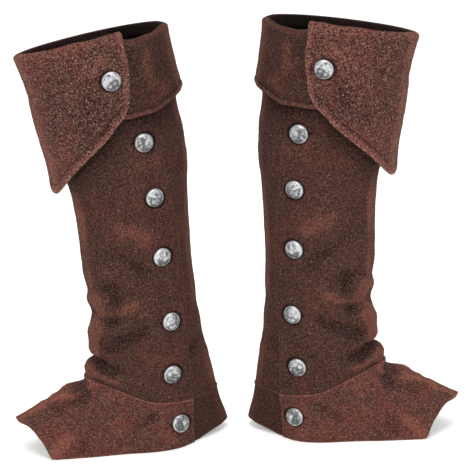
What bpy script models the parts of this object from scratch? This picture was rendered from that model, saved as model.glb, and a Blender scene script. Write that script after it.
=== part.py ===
# Pair of suede boot covers, filled out with no wearer and standing on their hems, toes outwards.
#
# Each cover is worked out in its own frame: forward to the toe (x), out to the leg's outer
# side (y) and up (z), with the centre back of the hem at forward 0. Lengths in the tables are
# millimetres and angles are degrees from the front centre, the outer side positive. Two empties
# place the covers, and the second cover is the first one mirrored.

import math

import bmesh
import bpy
from mathutils import Matrix, Vector

# Driving dimensions
WALL = 2.0                # thickness of the suede
GAP = 0.3                 # clearance wherever two pieces meet
TOE_TURN = 10.0           # how far each toe is turned towards the viewer
HEEL_TO_CENTRE = 12.0     # from the centre back of a heel to the middle of the pair
MEDIAL_SEAM = 100.0       # angle of the inner seam of shaft and foot
SEAM_TURN = 0.4           # turn between the two panels at the inner seam, for their gap
ANKLE = 57.0              # height at which the columns of the shaft are carried on into the foot
ANKLE_CENTRE = 90.0       # forward place of the leg's middle at the ankle

# Placket: the front panel's rear edge lies over the back panel
LAP = 33.0                # width of the underlap
LAP_EASE = 22.0           # length over which the upper layer sinks back ahead of the underlap
FOOT_EASE = 20.0          # the same on the foot, as a turn
FOOT_PROUD = 1.0          # how far the foot's top edge stands proud of the shaft

# Cuff, turned down over the rim
RIM_MIDDLE = 455.0        # height near the rim's middle, where a column's angle at the rim is taken
CUFF_MIDDLE = 385.0       # height inside the cuff, from which its free edge is looked for
CUFF_INSIDE = 9.0         # how far the cuff reaches down inside the rim
CUFF_CLEAR = 0.8          # clearance of the folded cuff on each side of the shaft's wall
FLAP_LIFT = 0.004         # how much further the flap stands off than the band, for each unit of drop
INNER_SEAM = 97.0         # forward place of the cuff's inner seam
OVER_PLACKET = (60.0, 74.0)   # forward places between which the cuff rises over the placket's edge
OVER_BAND = (133.0, 172.0)    # forward places between which the flap rises over the band's end

# Buttons
BUTTON_RADIUS = 10.1
BUTTON_RISE = 5.0         # height of the dome over the flat back
BUTTON_SEAT = 0.6         # clearance under the flat back
BUTTON_SIDES = 12
DOME_TURNS = (0, 26, 50, 70, 84)      # points of the dome's arc, from its top
DOME_FULLNESS = 0.8       # power of the dome's height, under 1 for a fuller shoulder
BACK_SHARE = 0.96         # radius of the flat back, as a share of the button's
SHANK_RADIUS = 1.4
SLIT_LENGTH = 15.0        # buttonhole, from the shank forward
SLIT_WIDTH = 3.4
SHAFT_BUTTONS = ((79.7, 354.2), (72.8, 292.1), (68.7, 225.8), (63.6, 149.6), (66.4, 89.2))   # forward, height
CUFF_BUTTON = (111.7, 422.4)
FOOT_BUTTON = (61.1, 29.6)

# Sections of the shaft, level cuts through one leg:
# height, back, front, half width, widest point, back sharpness, front sharpness
SECTIONS = (
    (40, 9.0, 166.0, 47.5, 86, 1.45, 1.20),
    (57, 11.4, 165.0, 47.0, 86, 1.45, 1.20),
    (75, 14.8, 163.0, 46.7, 86, 1.42, 1.20),
    (93, 17.6, 158.5, 46.5, 87, 1.38, 1.18),
    (112, 20.6, 153.6, 46.3, 88, 1.34, 1.15),
    (133, 23.8, 152.0, 46.3, 89, 1.30, 1.12),
    (155, 27.0, 149.2, 46.5, 90, 1.26, 1.10),
    (181, 28.8, 150.6, 47.0, 91, 1.22, 1.10),
    (211, 30.2, 154.2, 48.0, 92, 1.18, 1.08),
    (250, 30.7, 154.4, 49.5, 93, 1.15, 1.06),
    (291, 29.7, 158.0, 51.5, 95, 1.12, 1.05),
    (330, 28.8, 169.5, 54.0, 99, 1.10, 1.04),
    (357, 30.2, 179.0, 55.5, 103, 1.10, 1.02),
    (380, 35.4, 185.5, 57.0, 109, 1.08, 1.02),
    (410, 38.6, 192.2, 58.5, 114, 1.06, 1.00),
    (447, 40.5, 204.0, 60.0, 120, 1.05, 1.00),
    (485, 43.5, 214.0, 61.0, 127, 1.05, 1.00),
)

# Ankle seam in side view: forward, height
ANKLE_SEAM = ((0, 55), (46, 54.5), (75, 57), (95, 60.5), (110, 67), (130, 76), (147, 82), (168, 84.5))

# Rear edge of the front panel, the placket: height, forward
PLACKET = ((50, 45.2), (115, 47.0), (168, 46.0), (208, 47.2), (250, 50.2), (293, 55.8), (326, 59.8),
           (350, 64.5), (372, 70.0), (480, 84.0))

# Upper rim in side view: forward, height
RIM = ((36, 467.0), (42, 468.6), (49, 469.2), (103, 461.5), (147, 454.5), (210, 444.4))

# Dip of the rim on the outer side, beside the flap's rear edge: forward, height
RIM_DIP = ((44, 0), (50, -1.0), (55, -3.0), (62, -4.7), (74, -6.2), (84, -6.8), (92, -5.5), (99, -3.0),
           (110, -0.8), (122, 0))

# How far the flap's fold stands over that line on the outer side: forward, rise
FLAP_RISE = ((93, 5.2), (98, 5.0), (104, 3.4), (112, 2.4), (120, 0.9), (130, 0.3), (138, 0.9), (146, 1.8),
             (155, 2.2), (166, 2.6), (176, 2.9), (186, 2.4), (196, 2.4), (204, 2.8))
RISE_TURN = 12.0          # turn from the front over which that rise sets in

# Rear edge of the flap on the outer side: height, forward
FLAP_REAR = ((378, 95.0), (392, 94.2), (406, 94.3), (424, 92.9), (440, 93.4), (452, 95.6), (460, 97.0))

# Free lower edge of the cuff's back band: forward, height
BAND_EDGE = ((20, 410), (27, 408), (35, 401.5), (48, 394), (60, 388), (71, 385), (82, 384), (93, 382),
             (140, 381))

# Free lower edge of the cuff's flap, outer side, from its rear corner to the point: forward, height
FLAP_EDGE = ((92.5, 402), (95, 393.5), (99, 385.5), (104, 379.5), (110, 373.5), (118, 363.5), (130, 352),
             (145, 337.2), (156, 324.6), (166, 311.3), (173, 301.6), (177, 302.6), (181, 308))
# The same on the inner side, from the seam with the back band to the point
INNER_FLAP_EDGE = ((96, 382), (103, 375), (116, 361), (130, 350), (145, 339), (156, 329), (166, 319.5),
                   (174, 312.5), (181, 308))

# How fast the cuff stands off the shaft below the rim: angle, offset over the square of the drop
FLARE = ((0, 0.00076), (60, 0.0007), (100, 0.0011), (180, 0.0020))

# Ribs of the foot, from the ankle seam down, each through a middle point to its end on the hem or
# the toe edge: angle on the seam, then middle and end as forward, out, height.
# Ends under the floor are trimmed level with it.
RIBS = (
    (0, 186, 0.0, 70.0, 244, 0.0, 42.5),
    (12, 185, 11.5, 67.2, 240, 9.5, 39.5),
    (24, 182, 21.5, 61.0, 229, 20.5, 36.0),
    (33, 177, 29.0, 55.0, 218, 30.5, 22.5),
    (43, 171, 35.5, 48.0, 202.5, 37.5, -3.0),
    (58, 149, 41.0, 41.0, 172, 42.5, -3.0),
    (72, 122, 45.5, 35.0, 136, 45.5, -3.0),
    (90, 90, 48.5, 30.0, 95, 49.5, -3.0),
    (107, 66, 46.0, 28.0, 66, 46.5, -3.0),
    (123, 46, 36.5, 27.5, 46, 34.8, -1.0),
    (140, 28, 26.0, 30.5, 26, 24.5, 5.0),
    (158, 13, 15.5, 33.0, 10, 14.5, 8.5),
    (170, 8, 8.0, 33.2, 3, 7.0, 9.7),
    (180, 6.5, 0.0, 33.0, 0, 0.0, 10.0),
)

# Folds in side view, ridges out and troughs in:
# side (1 outer, -1 inner, 0 both), start forward, start height, end forward, end height, half width, out
FOLDS = (
    (1, 139, 188, 125, 195, 8, -2.7),
    (1, 125, 190, 123, 174, 9, -2.5),
    (1, 137, 188, 138, 160, 7, 2.3),
    (1, 146, 146, 148, 120, 10, 2.5),
    (1, 137, 162, 103, 174, 7, 2.6),
    (1, 137, 123, 94, 144, 8, -3.4),
    (1, 154, 163, 128, 155, 8, -4.2),
    (0, 158, 106, 146, 105, 6, -6.5),
    (1, 146, 105, 130, 97, 5, -4.5),
    (1, 150, 113, 132, 106, 5, 2.0),
    (1, 158, 95, 128, 86, 5, 3.2),
    (1, 120, 232, 88, 214, 11, -1.8),
    (1, 112, 262, 84, 250, 12, 1.6),
    (1, 66, 118, 84, 104, 9, -1.6),
    (1, 40, 108, 27, 118, 8, -1.5),
    (1, 36, 140, 30, 158, 8, -1.4),
    (-1, 150, 186, 112, 200, 9, -3.2),
    (-1, 146, 170, 108, 178, 8, 2.6),
    (-1, 148, 152, 100, 138, 9, -3.2),
    (-1, 150, 134, 112, 120, 8, 2.6),
    (-1, 146, 104, 118, 92, 6, -4.0),
    (-1, 152, 94, 122, 82, 6, 2.8),
    (-1, 112, 240, 78, 226, 12, -1.8),
    (-1, 48, 128, 32, 112, 9, -1.8),
)
FOLD_TURN = 16.0          # a fold on one side fades out over this width across the front

# Folds of the foot in side view, with the same columns
FOOT_FOLDS = (
    (0, 170, 82, 166, 72, 8, -5.5),
    (1, 164, 75, 190, 66, 4, 1.4),
    (1, 190, 66, 212, 62, 5, 0.6),
    (1, 168, 64, 198, 52, 6, -1.8),
    (1, 204, 4, 186, 22, 7, 2.4),
    (1, 178, 6, 168, 30, 8, -1.6),
    (1, 92, 44, 118, 22, 9, -1.4),
    (-1, 162, 76, 200, 62, 5, 1.8),
    (-1, 172, 60, 200, 44, 7, -1.8),
    (-1, 200, 6, 176, 26, 8, 2.2),
)
FOOT_AIM = (110.0, 1.6, 22.0)     # a foot fold's push: ahead of this forward place, gain sideways, and up

# Folds of the cuff in side view, with the same columns
CUFF_FOLDS = (
    (0, 202, 428, 196, 410, 9, -0.9),
    (1, 72, 446, 68, 418, 8, 2.2),
    (1, 66, 398, 52, 410, 9, 2.0),
    (1, 132, 404, 146, 372, 12, -1.8),
    (1, 118, 440, 168, 428, 11, 1.2),
    (-1, 80, 440, 74, 412, 9, 2.2),
    (-1, 132, 398, 148, 360, 12, -2.0),
    (-1, 54, 428, 46, 408, 9, 1.6),
)
CUFF_FOLD_START = 14.0    # drop below the rim over which they grow to their full depth

# Columns and rows of the cloth
LAP_COLUMNS = (LAP, 24.0, 16.0, 8.0, 0.0)             # distances ahead of the placket
FLAP_COLUMNS = (132, 124, 115, 106)                   # forward places where the flap lies over the band
BAND_COLUMNS = (88, 79, 70, 60)                       # forward places on the band behind the flap
COLUMNS = {"inner front": 7, "outer front": 9, "outer back": 5, "inner back": 6}
CUFF_COLUMNS = {"inner front": 9, "outer front": 6, "outer back": 4, "inner back": 6}
SHAFT_ROWS = (0, 0.025, 0.05, 0.075, 0.10, 0.125, 0.15, 0.18, 0.21, 0.24, 0.27, 0.30, 0.335, 0.38, 0.44,
              0.52, 0.60, 0.68, 0.76, 0.84, 0.92, 1.0)
VAMP_ROWS = (0, 0.08, 0.2, 0.34, 0.5, 0.68, 0.85, 1.0)
HEEL_ROWS = (0, 0.22, 0.48, 0.75, 1.0)
CUFF_DROPS = (3, 9, 18, 30, 43, 56)                   # rows below the rim
CUFF_SHARES = {"flap": (0.2, 0.4, 0.6, 0.8, 1.0), "band": (0.5, 1.0)}      # shares of the rest, to the edge
CUFF_TURNS = (0, 45, 90, 135, 180)                    # rows round the fold at the rim

SEARCH_STEPS = 12         # rounds in which a place on a curved surface is looked for
NORMAL_STEP = 0.02        # step in angle and height, or share, from which a surface's normal is taken
INSIDE = (100.0, 20.0, 60.0)      # point inside: its forward place, and its height up to the last height

SUEDE = (0.085, 0.035, 0.028)
SUEDE_DARK = (0.062, 0.028, 0.022)
SILVER = (0.42, 0.43, 0.45)


def smooth_table(table, at, column=1):
    """Value of a column at a place in the first column, on a smooth curve through the rows."""
    rows = list(table)
    if at <= rows[0][0]:
        return rows[0][column]
    if at >= rows[-1][0]:
        return rows[-1][column]
    i = max(k for k in range(len(rows) - 1) if rows[k][0] <= at)
    x0, x1 = rows[i][0], rows[i + 1][0]
    y0, y1 = rows[i][column], rows[i + 1][column]
    before = rows[max(i - 1, 0)]
    after = rows[min(i + 2, len(rows) - 1)]
    slope0 = (y1 - before[column]) / (x1 - before[0])
    slope1 = (after[column] - y0) / (after[0] - x0)
    t = (at - x0) / (x1 - x0)
    return (y0 * (1 + 2 * t) * (1 - t) ** 2 + slope0 * (x1 - x0) * t * (1 - t) ** 2
            + y1 * t * t * (3 - 2 * t) + slope1 * (x1 - x0) * t * t * (t - 1))


def ease(t):
    """Smooth step from 0 to 1."""
    t = min(max(t, 0.0), 1.0)
    return t * t * (3 - 2 * t)


def ramp(value, ends):
    """Smooth step from the first end to the last."""
    return ease((value - ends[0]) / (ends[1] - ends[0]))


def from_front(angle):
    """Turn from the front centre, 0 to 180 on either side."""
    return abs((angle + 180) % 360 - 180)


def fold_height(folds, forward, out, height):
    """Sum of the folds at a point, seen from the side."""
    total = 0.0
    for side, x0, z0, x1, z1, half_width, depth in folds:
        along = Vector((x1 - x0, z1 - z0))
        offset = Vector((forward - x0, height - z0))
        t = min(max(offset.dot(along) / along.length_squared, 0.0), 1.0)
        distance = (offset - along * t).length / half_width
        if distance > 3:
            continue
        shown = 1.0 if side == 0 else ease(0.5 + 0.5 * side * out / FOLD_TURN)
        total += depth * shown * math.exp(-distance * distance)
    return total


def section(height):
    return [smooth_table(SECTIONS, height, column) for column in range(1, 7)]


def leg_point(angle, height, folds=FOLDS):
    """Outer face of the shaft at an angle from the front centre, in degrees, outer side positive."""
    back, front, half_width, widest, back_power, front_power = section(height)
    turn = math.radians(angle)
    ahead, across = math.cos(turn), math.sin(turn)
    power = front_power if ahead > 0 else back_power
    reach = front - widest if ahead > 0 else widest - back
    forward = widest + reach * ahead
    out = half_width * math.copysign(abs(across) ** power, across)
    away = Vector((ahead / reach, across / half_width, 0)).normalized()
    return Vector((forward, out, height)) + away * fold_height(folds, forward, out, height)


def angle_at(forward, height, side=1):
    """Angle on the shaft of a forward place at a height."""
    back, front, half_width, widest = section(height)[:4]
    reach = front - widest if forward > widest else widest - back
    return side * math.degrees(math.acos(min(max((forward - widest) / reach, -1.0), 1.0)))


def height_on(table, angle_of, start):
    """Height at which a line on the shaft meets an edge given in side view."""
    height = start
    for _ in range(SEARCH_STEPS):
        height = smooth_table(table, leg_point(angle_of(height), height, ()).x)
    return height


def foot_point(angle, t):
    """Outer face of the foot, from the ankle seam (t = 0) to the hem or toe edge (t = 1)."""
    turn = from_front(angle)
    row = [smooth_table(RIBS, turn, column) for column in range(1, 7)]
    side = math.copysign(1, math.sin(math.radians(angle)))
    top = height_on(ANKLE_SEAM, fixed(angle), ANKLE)
    start = leg_point(angle, top, ())
    start += Vector((start.x - ANKLE_CENTRE, start.y, 0)).normalized() * FOOT_PROUD
    start.z -= GAP / 2
    middle = Vector((row[0], side * row[1], row[2]))
    end = Vector((row[3], side * row[4], row[5]))
    pull = middle * 2 - (start + end) / 2
    point = start * (1 - t) ** 2 + pull * 2 * t * (1 - t) + end * t * t
    centre, sideways, up = FOOT_AIM
    away = Vector((point.x - centre, point.y * sideways, up)).normalized()
    return point + away * fold_height(FOOT_FOLDS, point.x, point.y, point.z) * ease(4 * t)


def moved_out(surface, a, b, distance):
    """Point of a surface, moved along its outward normal."""
    point = surface(a, b)
    across = surface(a + NORMAL_STEP, b) - surface(a - NORMAL_STEP, b)
    along = surface(a, b + NORMAL_STEP) - surface(a, b - NORMAL_STEP)
    normal = along.cross(across).normalized()
    forward, low, foot_top = INSIDE
    middle = Vector((forward, 0, point.z if point.z > foot_top else low))
    if normal.dot(point - middle) < 0:
        normal.negate()
    return point + normal * distance


def lap_angle(distance):
    """Angle on the shaft of a line at a distance ahead of the placket, as a function of height."""
    return lambda height: angle_at(smooth_table(PLACKET, height) + distance, height)


def spread(first, last, steps):
    """Angles of evenly spread columns between two columns, without the first."""
    def between(k):
        return lambda height: first(height) + (last(height) - first(height)) * k / steps
    return [between(k) for k in range(1, steps + 1)]


def fixed(angle):
    return lambda height: angle


def layer_rise(distance):
    """Inner face of the upper layer against the leg's surface, at a distance ahead of the placket."""
    return GAP - (GAP + WALL) * ease((distance - LAP) / LAP_EASE)


def rim_height(angle):
    """Height of the shaft's own top edge at an angle."""
    height = height_on(RIM, fixed(angle), RIM_MIDDLE)
    point = leg_point(angle, height, ())
    return height + (smooth_table(RIM_DIP, point.x) if point.y > 0 else 0.0)


def shaft_grid(columns, inner_face):
    """Points of a shaft panel: rows from the ankle seam to the rim."""
    rows = []
    for share in SHAFT_ROWS:
        row = []
        for angle_of in columns:
            low = height_on(ANKLE_SEAM, angle_of, ANKLE) + GAP / 2
            high = rim_height(angle_of(RIM_MIDDLE)) - GAP
            height = low + (high - low) * share
            angle = angle_of(height)
            ahead = leg_point(angle, height, ()).x - smooth_table(PLACKET, height)
            outer_side = math.sin(math.radians(angle)) > 0
            row.append(moved_out(leg_point, angle, height, inner_face(ahead, outer_side)))
        rows.append(row)
    return rows


def foot_grid(angles, shares, inner_face):
    """Points of a foot piece: rows from the hem or toe edge up to the ankle seam."""
    return [[moved_out(foot_point, angle, share, inner_face(angle)) for angle in angles]
            for share in reversed(shares)]


def cuff_offsets(piece, forward, outer_side):
    """Inner face of the cuff inside and outside the shaft's wall, where it leaves the rim."""
    inside, outside = -WALL - CUFF_CLEAR, CUFF_CLEAR
    if not outer_side:
        return inside, outside
    over_placket = (WALL + GAP) * ramp(forward, OVER_PLACKET)
    if piece == "band":
        return inside, outside + over_placket
    over_band = 1 - ramp(forward, OVER_BAND)
    return inside - (WALL + GAP) * over_band, outside + 2 * (WALL + GAP) * over_band


def level_normal(angle, height):
    """Outward normal of the shaft at a point, laid level."""
    around = leg_point(angle + NORMAL_STEP, height, ()) - leg_point(angle - NORMAL_STEP, height, ())
    return Vector((around.y, -around.x, 0)).normalized()


def turned_down(piece, angle, height, top):
    """Inner face of the cuff outside the shaft, below the rim."""
    surface = leg_point(angle, height, ())
    away = level_normal(angle, height)
    drop = top - height
    offset = cuff_offsets(piece, surface.x, surface.y > 0)[1]
    offset += smooth_table(FLARE, from_front(angle)) * drop * drop
    if piece == "flap":
        offset += FLAP_LIFT * drop
    offset += fold_height(CUFF_FOLDS, surface.x, surface.y, height) * ramp(drop, (0, CUFF_FOLD_START))
    return surface + away * offset


def edge_height(piece, angle_of, top):
    """Height of a cuff piece's free edge on a column."""
    height = CUFF_MIDDLE
    for _ in range(SEARCH_STEPS):
        point = turned_down(piece, angle_of(height), height, top)
        edge = BAND_EDGE if piece == "band" else FLAP_EDGE if point.y > 0 else INNER_FLAP_EDGE
        height = smooth_table(edge, point.x)
    return height


def rolled_over(angle, top, inside, outside, turn, rise):
    """Inner face of the cuff where it turns over the rim, from outside (0) to inside (180)."""
    radius = (outside - inside) / 2
    turn = math.radians(turn)
    away = level_normal(angle, top)
    point = leg_point(angle, top, ()) + away * ((outside + inside) / 2 + radius * math.cos(turn))
    point.z = top + (radius + rise) * math.sin(turn)
    return point


def cuff_grid(piece, columns):
    """Points of a cuff piece: rows from its free lower edge up, over the rim and down inside."""
    grid = []
    for angle_of in columns:
        angle = angle_of(RIM_MIDDLE)
        top = rim_height(angle)
        rim = leg_point(angle, top, ())
        low = edge_height(piece, angle_of, top)
        inside, outside = cuff_offsets(piece, rim.x, rim.y > 0)
        rise = smooth_table(FLAP_RISE, rim.x) * ramp(angle, (0, RISE_TURN)) if piece == "flap" else 0.0
        column = []
        heights = [top - drop for drop in CUFF_DROPS]
        heights += [heights[-1] - (heights[-1] - low) * share for share in CUFF_SHARES[piece]]
        for height in reversed(heights):
            column.append(turned_down(piece, angle_of(height), height, top))
        column += [rolled_over(angle, top, inside, outside, turn, rise) for turn in CUFF_TURNS]
        height = top - CUFF_INSIDE
        column.append(leg_point(angle, height, ()) + level_normal(angle, height) * inside)
        grid.append(column)
    return [list(row) for row in zip(*grid)]


def material(name, colour, roughness, metallic=0.0):
    made = bpy.data.materials.new(name)
    made.use_nodes = True
    shader = made.node_tree.nodes["Principled BSDF"]
    shader.inputs["Base Color"].default_value = (*colour, 1.0)
    shader.inputs["Roughness"].default_value = roughness
    shader.inputs["Metallic"].default_value = metallic
    return made


def local(point, side):
    """A cover's own point in metres, mirrored for the second cover."""
    return Vector((point.x, point.y * side, point.z)) / 1000


def add_object(name, mesh, finish, parent, collection):
    mesh.materials.append(finish)
    made = bpy.data.objects.new(name, mesh)
    collection.objects.link(made)
    made.parent = parent
    return made


def add_cloth(name, grid, side, finish, parent, collection):
    """A wall of cloth from its inner face, a grid whose columns run round and rows run up."""
    wide = len(grid[0])
    vertices = [local(point, side) for row in grid for point in row]
    faces = []
    for r in range(len(grid) - 1):
        for c in range(wide - 1):
            a, b = r * wide + c, r * wide + c + 1
            faces += [(a, b, b + wide), (a, b + wide, a + wide)]
    if side < 0:
        faces = [face[::-1] for face in faces]
    mesh = bpy.data.meshes.new(name)
    mesh.from_pydata(vertices, [], faces)
    made = add_object(name, mesh, finish, parent, collection)
    wall = made.modifiers.new("Wall", "SOLIDIFY")
    wall.thickness = WALL / 1000
    wall.offset = 1.0
    wall.use_even_offset = False
    wall.use_quality_normals = True
    mesh.shade_smooth()
    return made


def add_cut(target, cutter):
    cut = target.modifiers.new("Cut by " + cutter.name, "BOOLEAN")
    cut.operation = "DIFFERENCE"
    cut.solver = "EXACT"
    cut.object = cutter


def add_cutter(name, size, place, collection, parent=None):
    """A box that only cuts."""
    mesh = bpy.data.meshes.new(name)
    shape = bmesh.new()
    bmesh.ops.create_cube(shape, size=1.0, matrix=Matrix.Diagonal((*size, 1.0)))
    shape.to_mesh(mesh)
    shape.free()
    cutter = bpy.data.objects.new(name, mesh)
    collection.objects.link(cutter)
    cutter.parent = parent
    cutter.matrix_local = place
    cutter.hide_render = True
    cutter.display_type = "WIRE"
    return cutter


def button_profile():
    """Half outline of a button, from the top of its dome round to the end of its shank."""
    shank = WALL + BUTTON_SEAT
    turns = [math.radians(turn) for turn in DOME_TURNS]
    dome = [(BUTTON_RADIUS * math.sin(turn), BUTTON_RISE * math.cos(turn) ** DOME_FULLNESS) for turn in turns]
    back = [(BUTTON_RADIUS * BACK_SHARE, 0.0), (SHANK_RADIUS, 0.0)]
    return dome + back + [(SHANK_RADIUS, -shank), (0.0, -shank)]


def add_button(name, place, finish, parent, collection):
    mesh = bpy.data.meshes.new(name)
    points = [(radius / 1000, 0.0, height / 1000) for radius, height in button_profile()]
    mesh.from_pydata(points, [(k, k + 1) for k in range(len(points) - 1)], [])
    button = add_object(name, mesh, finish, parent, collection)
    button.matrix_local = place
    turned = button.modifiers.new("Turned", "SCREW")
    turned.steps = turned.render_steps = BUTTON_SIDES
    turned.use_merge_vertices = True
    turned.merge_threshold = 0.00001
    turned.use_smooth_shade = True
    return button


def button_place(point, normal, side, rise):
    """Matrix with its Z along the surface's normal and its X along the buttonhole, forward."""
    seat = local(point + normal * rise, side)
    up = Vector((normal.x, normal.y * side, normal.z)).normalized()
    ahead = Vector((1, 0, 0))
    ahead = (ahead - up * ahead.dot(up)).normalized()
    across = up.cross(ahead)
    return Matrix.Translation(seat) @ Matrix((ahead, across, up)).transposed().to_4x4()


def foot_at(forward, height):
    """Angle and share on the outer side of the foot that lie at a forward place and a height."""
    angle, share = 105.0, 0.5         # near the foot's button
    for _ in range(SEARCH_STEPS):
        point = foot_point(angle, share)
        angle -= (forward - point.x) * 0.7
        share += (point.z - height) / 70
    return angle, share


def add_buttons(label, side, parent, pieces, silver, collection, cutters):
    """The column of buttons, each with its shank through a slit of the upper layer."""
    def on_flap(angle, height):
        return turned_down("flap", angle, height, rim_height(angle))

    seats = [(on_flap, angle_at(*CUFF_BUTTON), CUFF_BUTTON[1], "cuff_flap", WALL)]
    seats += [(leg_point, angle_at(*place), place[1], "shaft_front", GAP + WALL) for place in SHAFT_BUTTONS]
    seats.append((foot_point, *foot_at(*FOOT_BUTTON), "vamp", GAP + WALL))
    for k, (surface, a, b, piece, layer) in enumerate(seats, start=1):
        point = surface(a, b)
        normal = moved_out(surface, a, b, 1.0) - point
        place = button_place(point, normal, side, layer + BUTTON_SEAT)
        add_button("%s_button_%d" % (label, k), place, silver, parent, collection)
        length = SLIT_LENGTH + SLIT_WIDTH / 2
        middle = Vector(((SLIT_LENGTH - SLIT_WIDTH / 2) / 2, 0, -BUTTON_SEAT - WALL / 2)) / 1000
        size = (length / 1000, SLIT_WIDTH / 1000, 3 * WALL / 1000)
        slit = place @ Matrix.Translation(middle)
        cutter = add_cutter("%s_slit_%d" % (label, k), size, slit, cutters, parent)
        add_cut(pieces[piece], cutter)


def build_cover(label, side, parent, finishes, collection, cutters, floor):
    """All pieces of one cover, under its own empty."""
    suede, suede_dark, silver = finishes
    seam = fixed(-MEDIAL_SEAM)
    seam_back = fixed(360 - MEDIAL_SEAM - SEAM_TURN)
    lap_columns = [lap_angle(distance) for distance in LAP_COLUMNS]
    front = [seam] + spread(seam, fixed(0), COLUMNS["inner front"])
    front += spread(fixed(0), lap_columns[0], COLUMNS["outer front"]) + lap_columns[1:]
    back = lap_columns + spread(lap_columns[-1], fixed(180), COLUMNS["outer back"])
    back += spread(fixed(180), seam_back, COLUMNS["inner back"])

    def upper(ahead, outer_side):
        return layer_rise(ahead) if outer_side else -WALL

    def under(ahead, outer_side):
        return -WALL

    def foot_angles(columns):
        return [angle_of(ANKLE) for angle_of in columns]

    def vamp_face(angle):
        lap_start = lap_columns[0](ANKLE)
        return GAP - (GAP + WALL) * ease((lap_start - angle) / FOOT_EASE) if angle > 0 else -WALL

    def heel_face(angle):
        return -WALL

    def at_forward(forward, inner=False):
        return lambda height: (360 - angle_at(forward, height)) if inner else angle_at(forward, height)

    def before_front(forward):
        return lambda height: -angle_at(forward, height)

    def flap_rear(height):
        return angle_at(smooth_table(FLAP_REAR, height), height)

    inner_end = before_front(INNER_SEAM + 2 * GAP)
    overlap = [at_forward(forward) for forward in FLAP_COLUMNS] + [flap_rear]
    flap = [inner_end] + spread(inner_end, fixed(0), CUFF_COLUMNS["inner front"])
    flap += spread(fixed(0), overlap[0], CUFF_COLUMNS["outer front"]) + overlap[1:]
    band = overlap + [at_forward(forward) for forward in BAND_COLUMNS]
    band += spread(band[-1], fixed(180), CUFF_COLUMNS["outer back"])
    band += spread(fixed(180), at_forward(INNER_SEAM, True), CUFF_COLUMNS["inner back"])

    grids = {
        "shaft_front": (shaft_grid(front, upper), suede),
        "shaft_back": (shaft_grid(back, under), suede_dark),
        "vamp": (foot_grid(foot_angles(front), VAMP_ROWS, vamp_face), suede),
        "heel_band": (foot_grid(foot_angles(back), HEEL_ROWS, heel_face), suede_dark),
        "cuff_flap": (cuff_grid("flap", flap), suede),
        "cuff_band": (cuff_grid("band", band), suede_dark),
    }
    pieces = {}
    for name, (grid, finish) in grids.items():
        pieces[name] = add_cloth("%s_%s" % (label, name), grid, side, finish, parent, collection)
    for name in ("vamp", "heel_band"):
        add_cut(pieces[name], floor)
    add_buttons(label, side, parent, pieces, silver, collection, cutters)


def centre_on_floor(pair, collection):
    """Slide the pair along Y until the middle of its footprint's box is at the origin."""
    bpy.context.view_layer.update()
    graph = bpy.context.evaluated_depsgraph_get()
    reach = []
    for piece in collection.objects:
        if piece.type == "MESH":
            mesh = piece.evaluated_get(graph).to_mesh()
            reach += [(piece.matrix_world @ vertex.co).y for vertex in mesh.vertices]
    pair.location.y = -(min(reach) + max(reach)) / 2
    bpy.context.view_layer.update()


def main():
    for old in list(bpy.data.objects):
        bpy.data.objects.remove(old)
    collection = bpy.data.collections.new("boot_covers")
    cutters = bpy.data.collections.new("cutters")
    for made in (collection, cutters):
        bpy.context.scene.collection.children.link(made)
    finishes = (material("suede", SUEDE, 0.95), material("suede_back", SUEDE_DARK, 0.95),
                material("antique_silver", SILVER, 0.45, 0.9))
    pair = bpy.data.objects.new("pair", None)
    collection.objects.link(pair)
    depth = 0.1
    floor = add_cutter("floor", (1.0, 1.0, depth), Matrix.Translation((0, 0, -depth / 2)), cutters)
    for label, side in (("left", 1), ("right", -1)):
        cover = bpy.data.objects.new(label + "_cover", None)
        collection.objects.link(cover)
        cover.parent = pair
        turn = 180 + TOE_TURN if side > 0 else -TOE_TURN
        cover.location = (-side * HEEL_TO_CENTRE / 1000, 0, 0)
        cover.rotation_euler = (0, 0, math.radians(turn))
        build_cover(label, side, cover, finishes, collection, cutters, floor)
    centre_on_floor(pair, collection)


main()
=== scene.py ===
# Looks of a pair of suede boot covers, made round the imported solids.
# A cover is worked out in its own millimetres: forward to the toe, out to the leg's outer side, and up.
# The left cover is made first, and the right one is its mirror image.
import math

import bpy
import numpy as np
from mathutils import Matrix, Vector


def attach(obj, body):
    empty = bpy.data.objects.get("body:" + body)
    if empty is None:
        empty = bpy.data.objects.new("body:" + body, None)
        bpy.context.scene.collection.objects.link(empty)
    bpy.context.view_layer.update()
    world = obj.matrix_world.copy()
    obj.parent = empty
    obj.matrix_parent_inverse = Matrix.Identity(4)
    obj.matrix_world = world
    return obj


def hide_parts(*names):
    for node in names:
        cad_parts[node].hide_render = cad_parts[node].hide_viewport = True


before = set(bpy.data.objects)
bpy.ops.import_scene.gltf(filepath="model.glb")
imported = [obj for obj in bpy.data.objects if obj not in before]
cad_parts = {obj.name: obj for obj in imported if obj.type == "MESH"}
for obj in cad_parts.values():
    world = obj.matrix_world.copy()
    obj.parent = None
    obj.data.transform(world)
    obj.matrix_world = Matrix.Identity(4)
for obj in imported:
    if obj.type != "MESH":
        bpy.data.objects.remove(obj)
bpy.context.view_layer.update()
print("frame:", len(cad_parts), "nodes")

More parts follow.
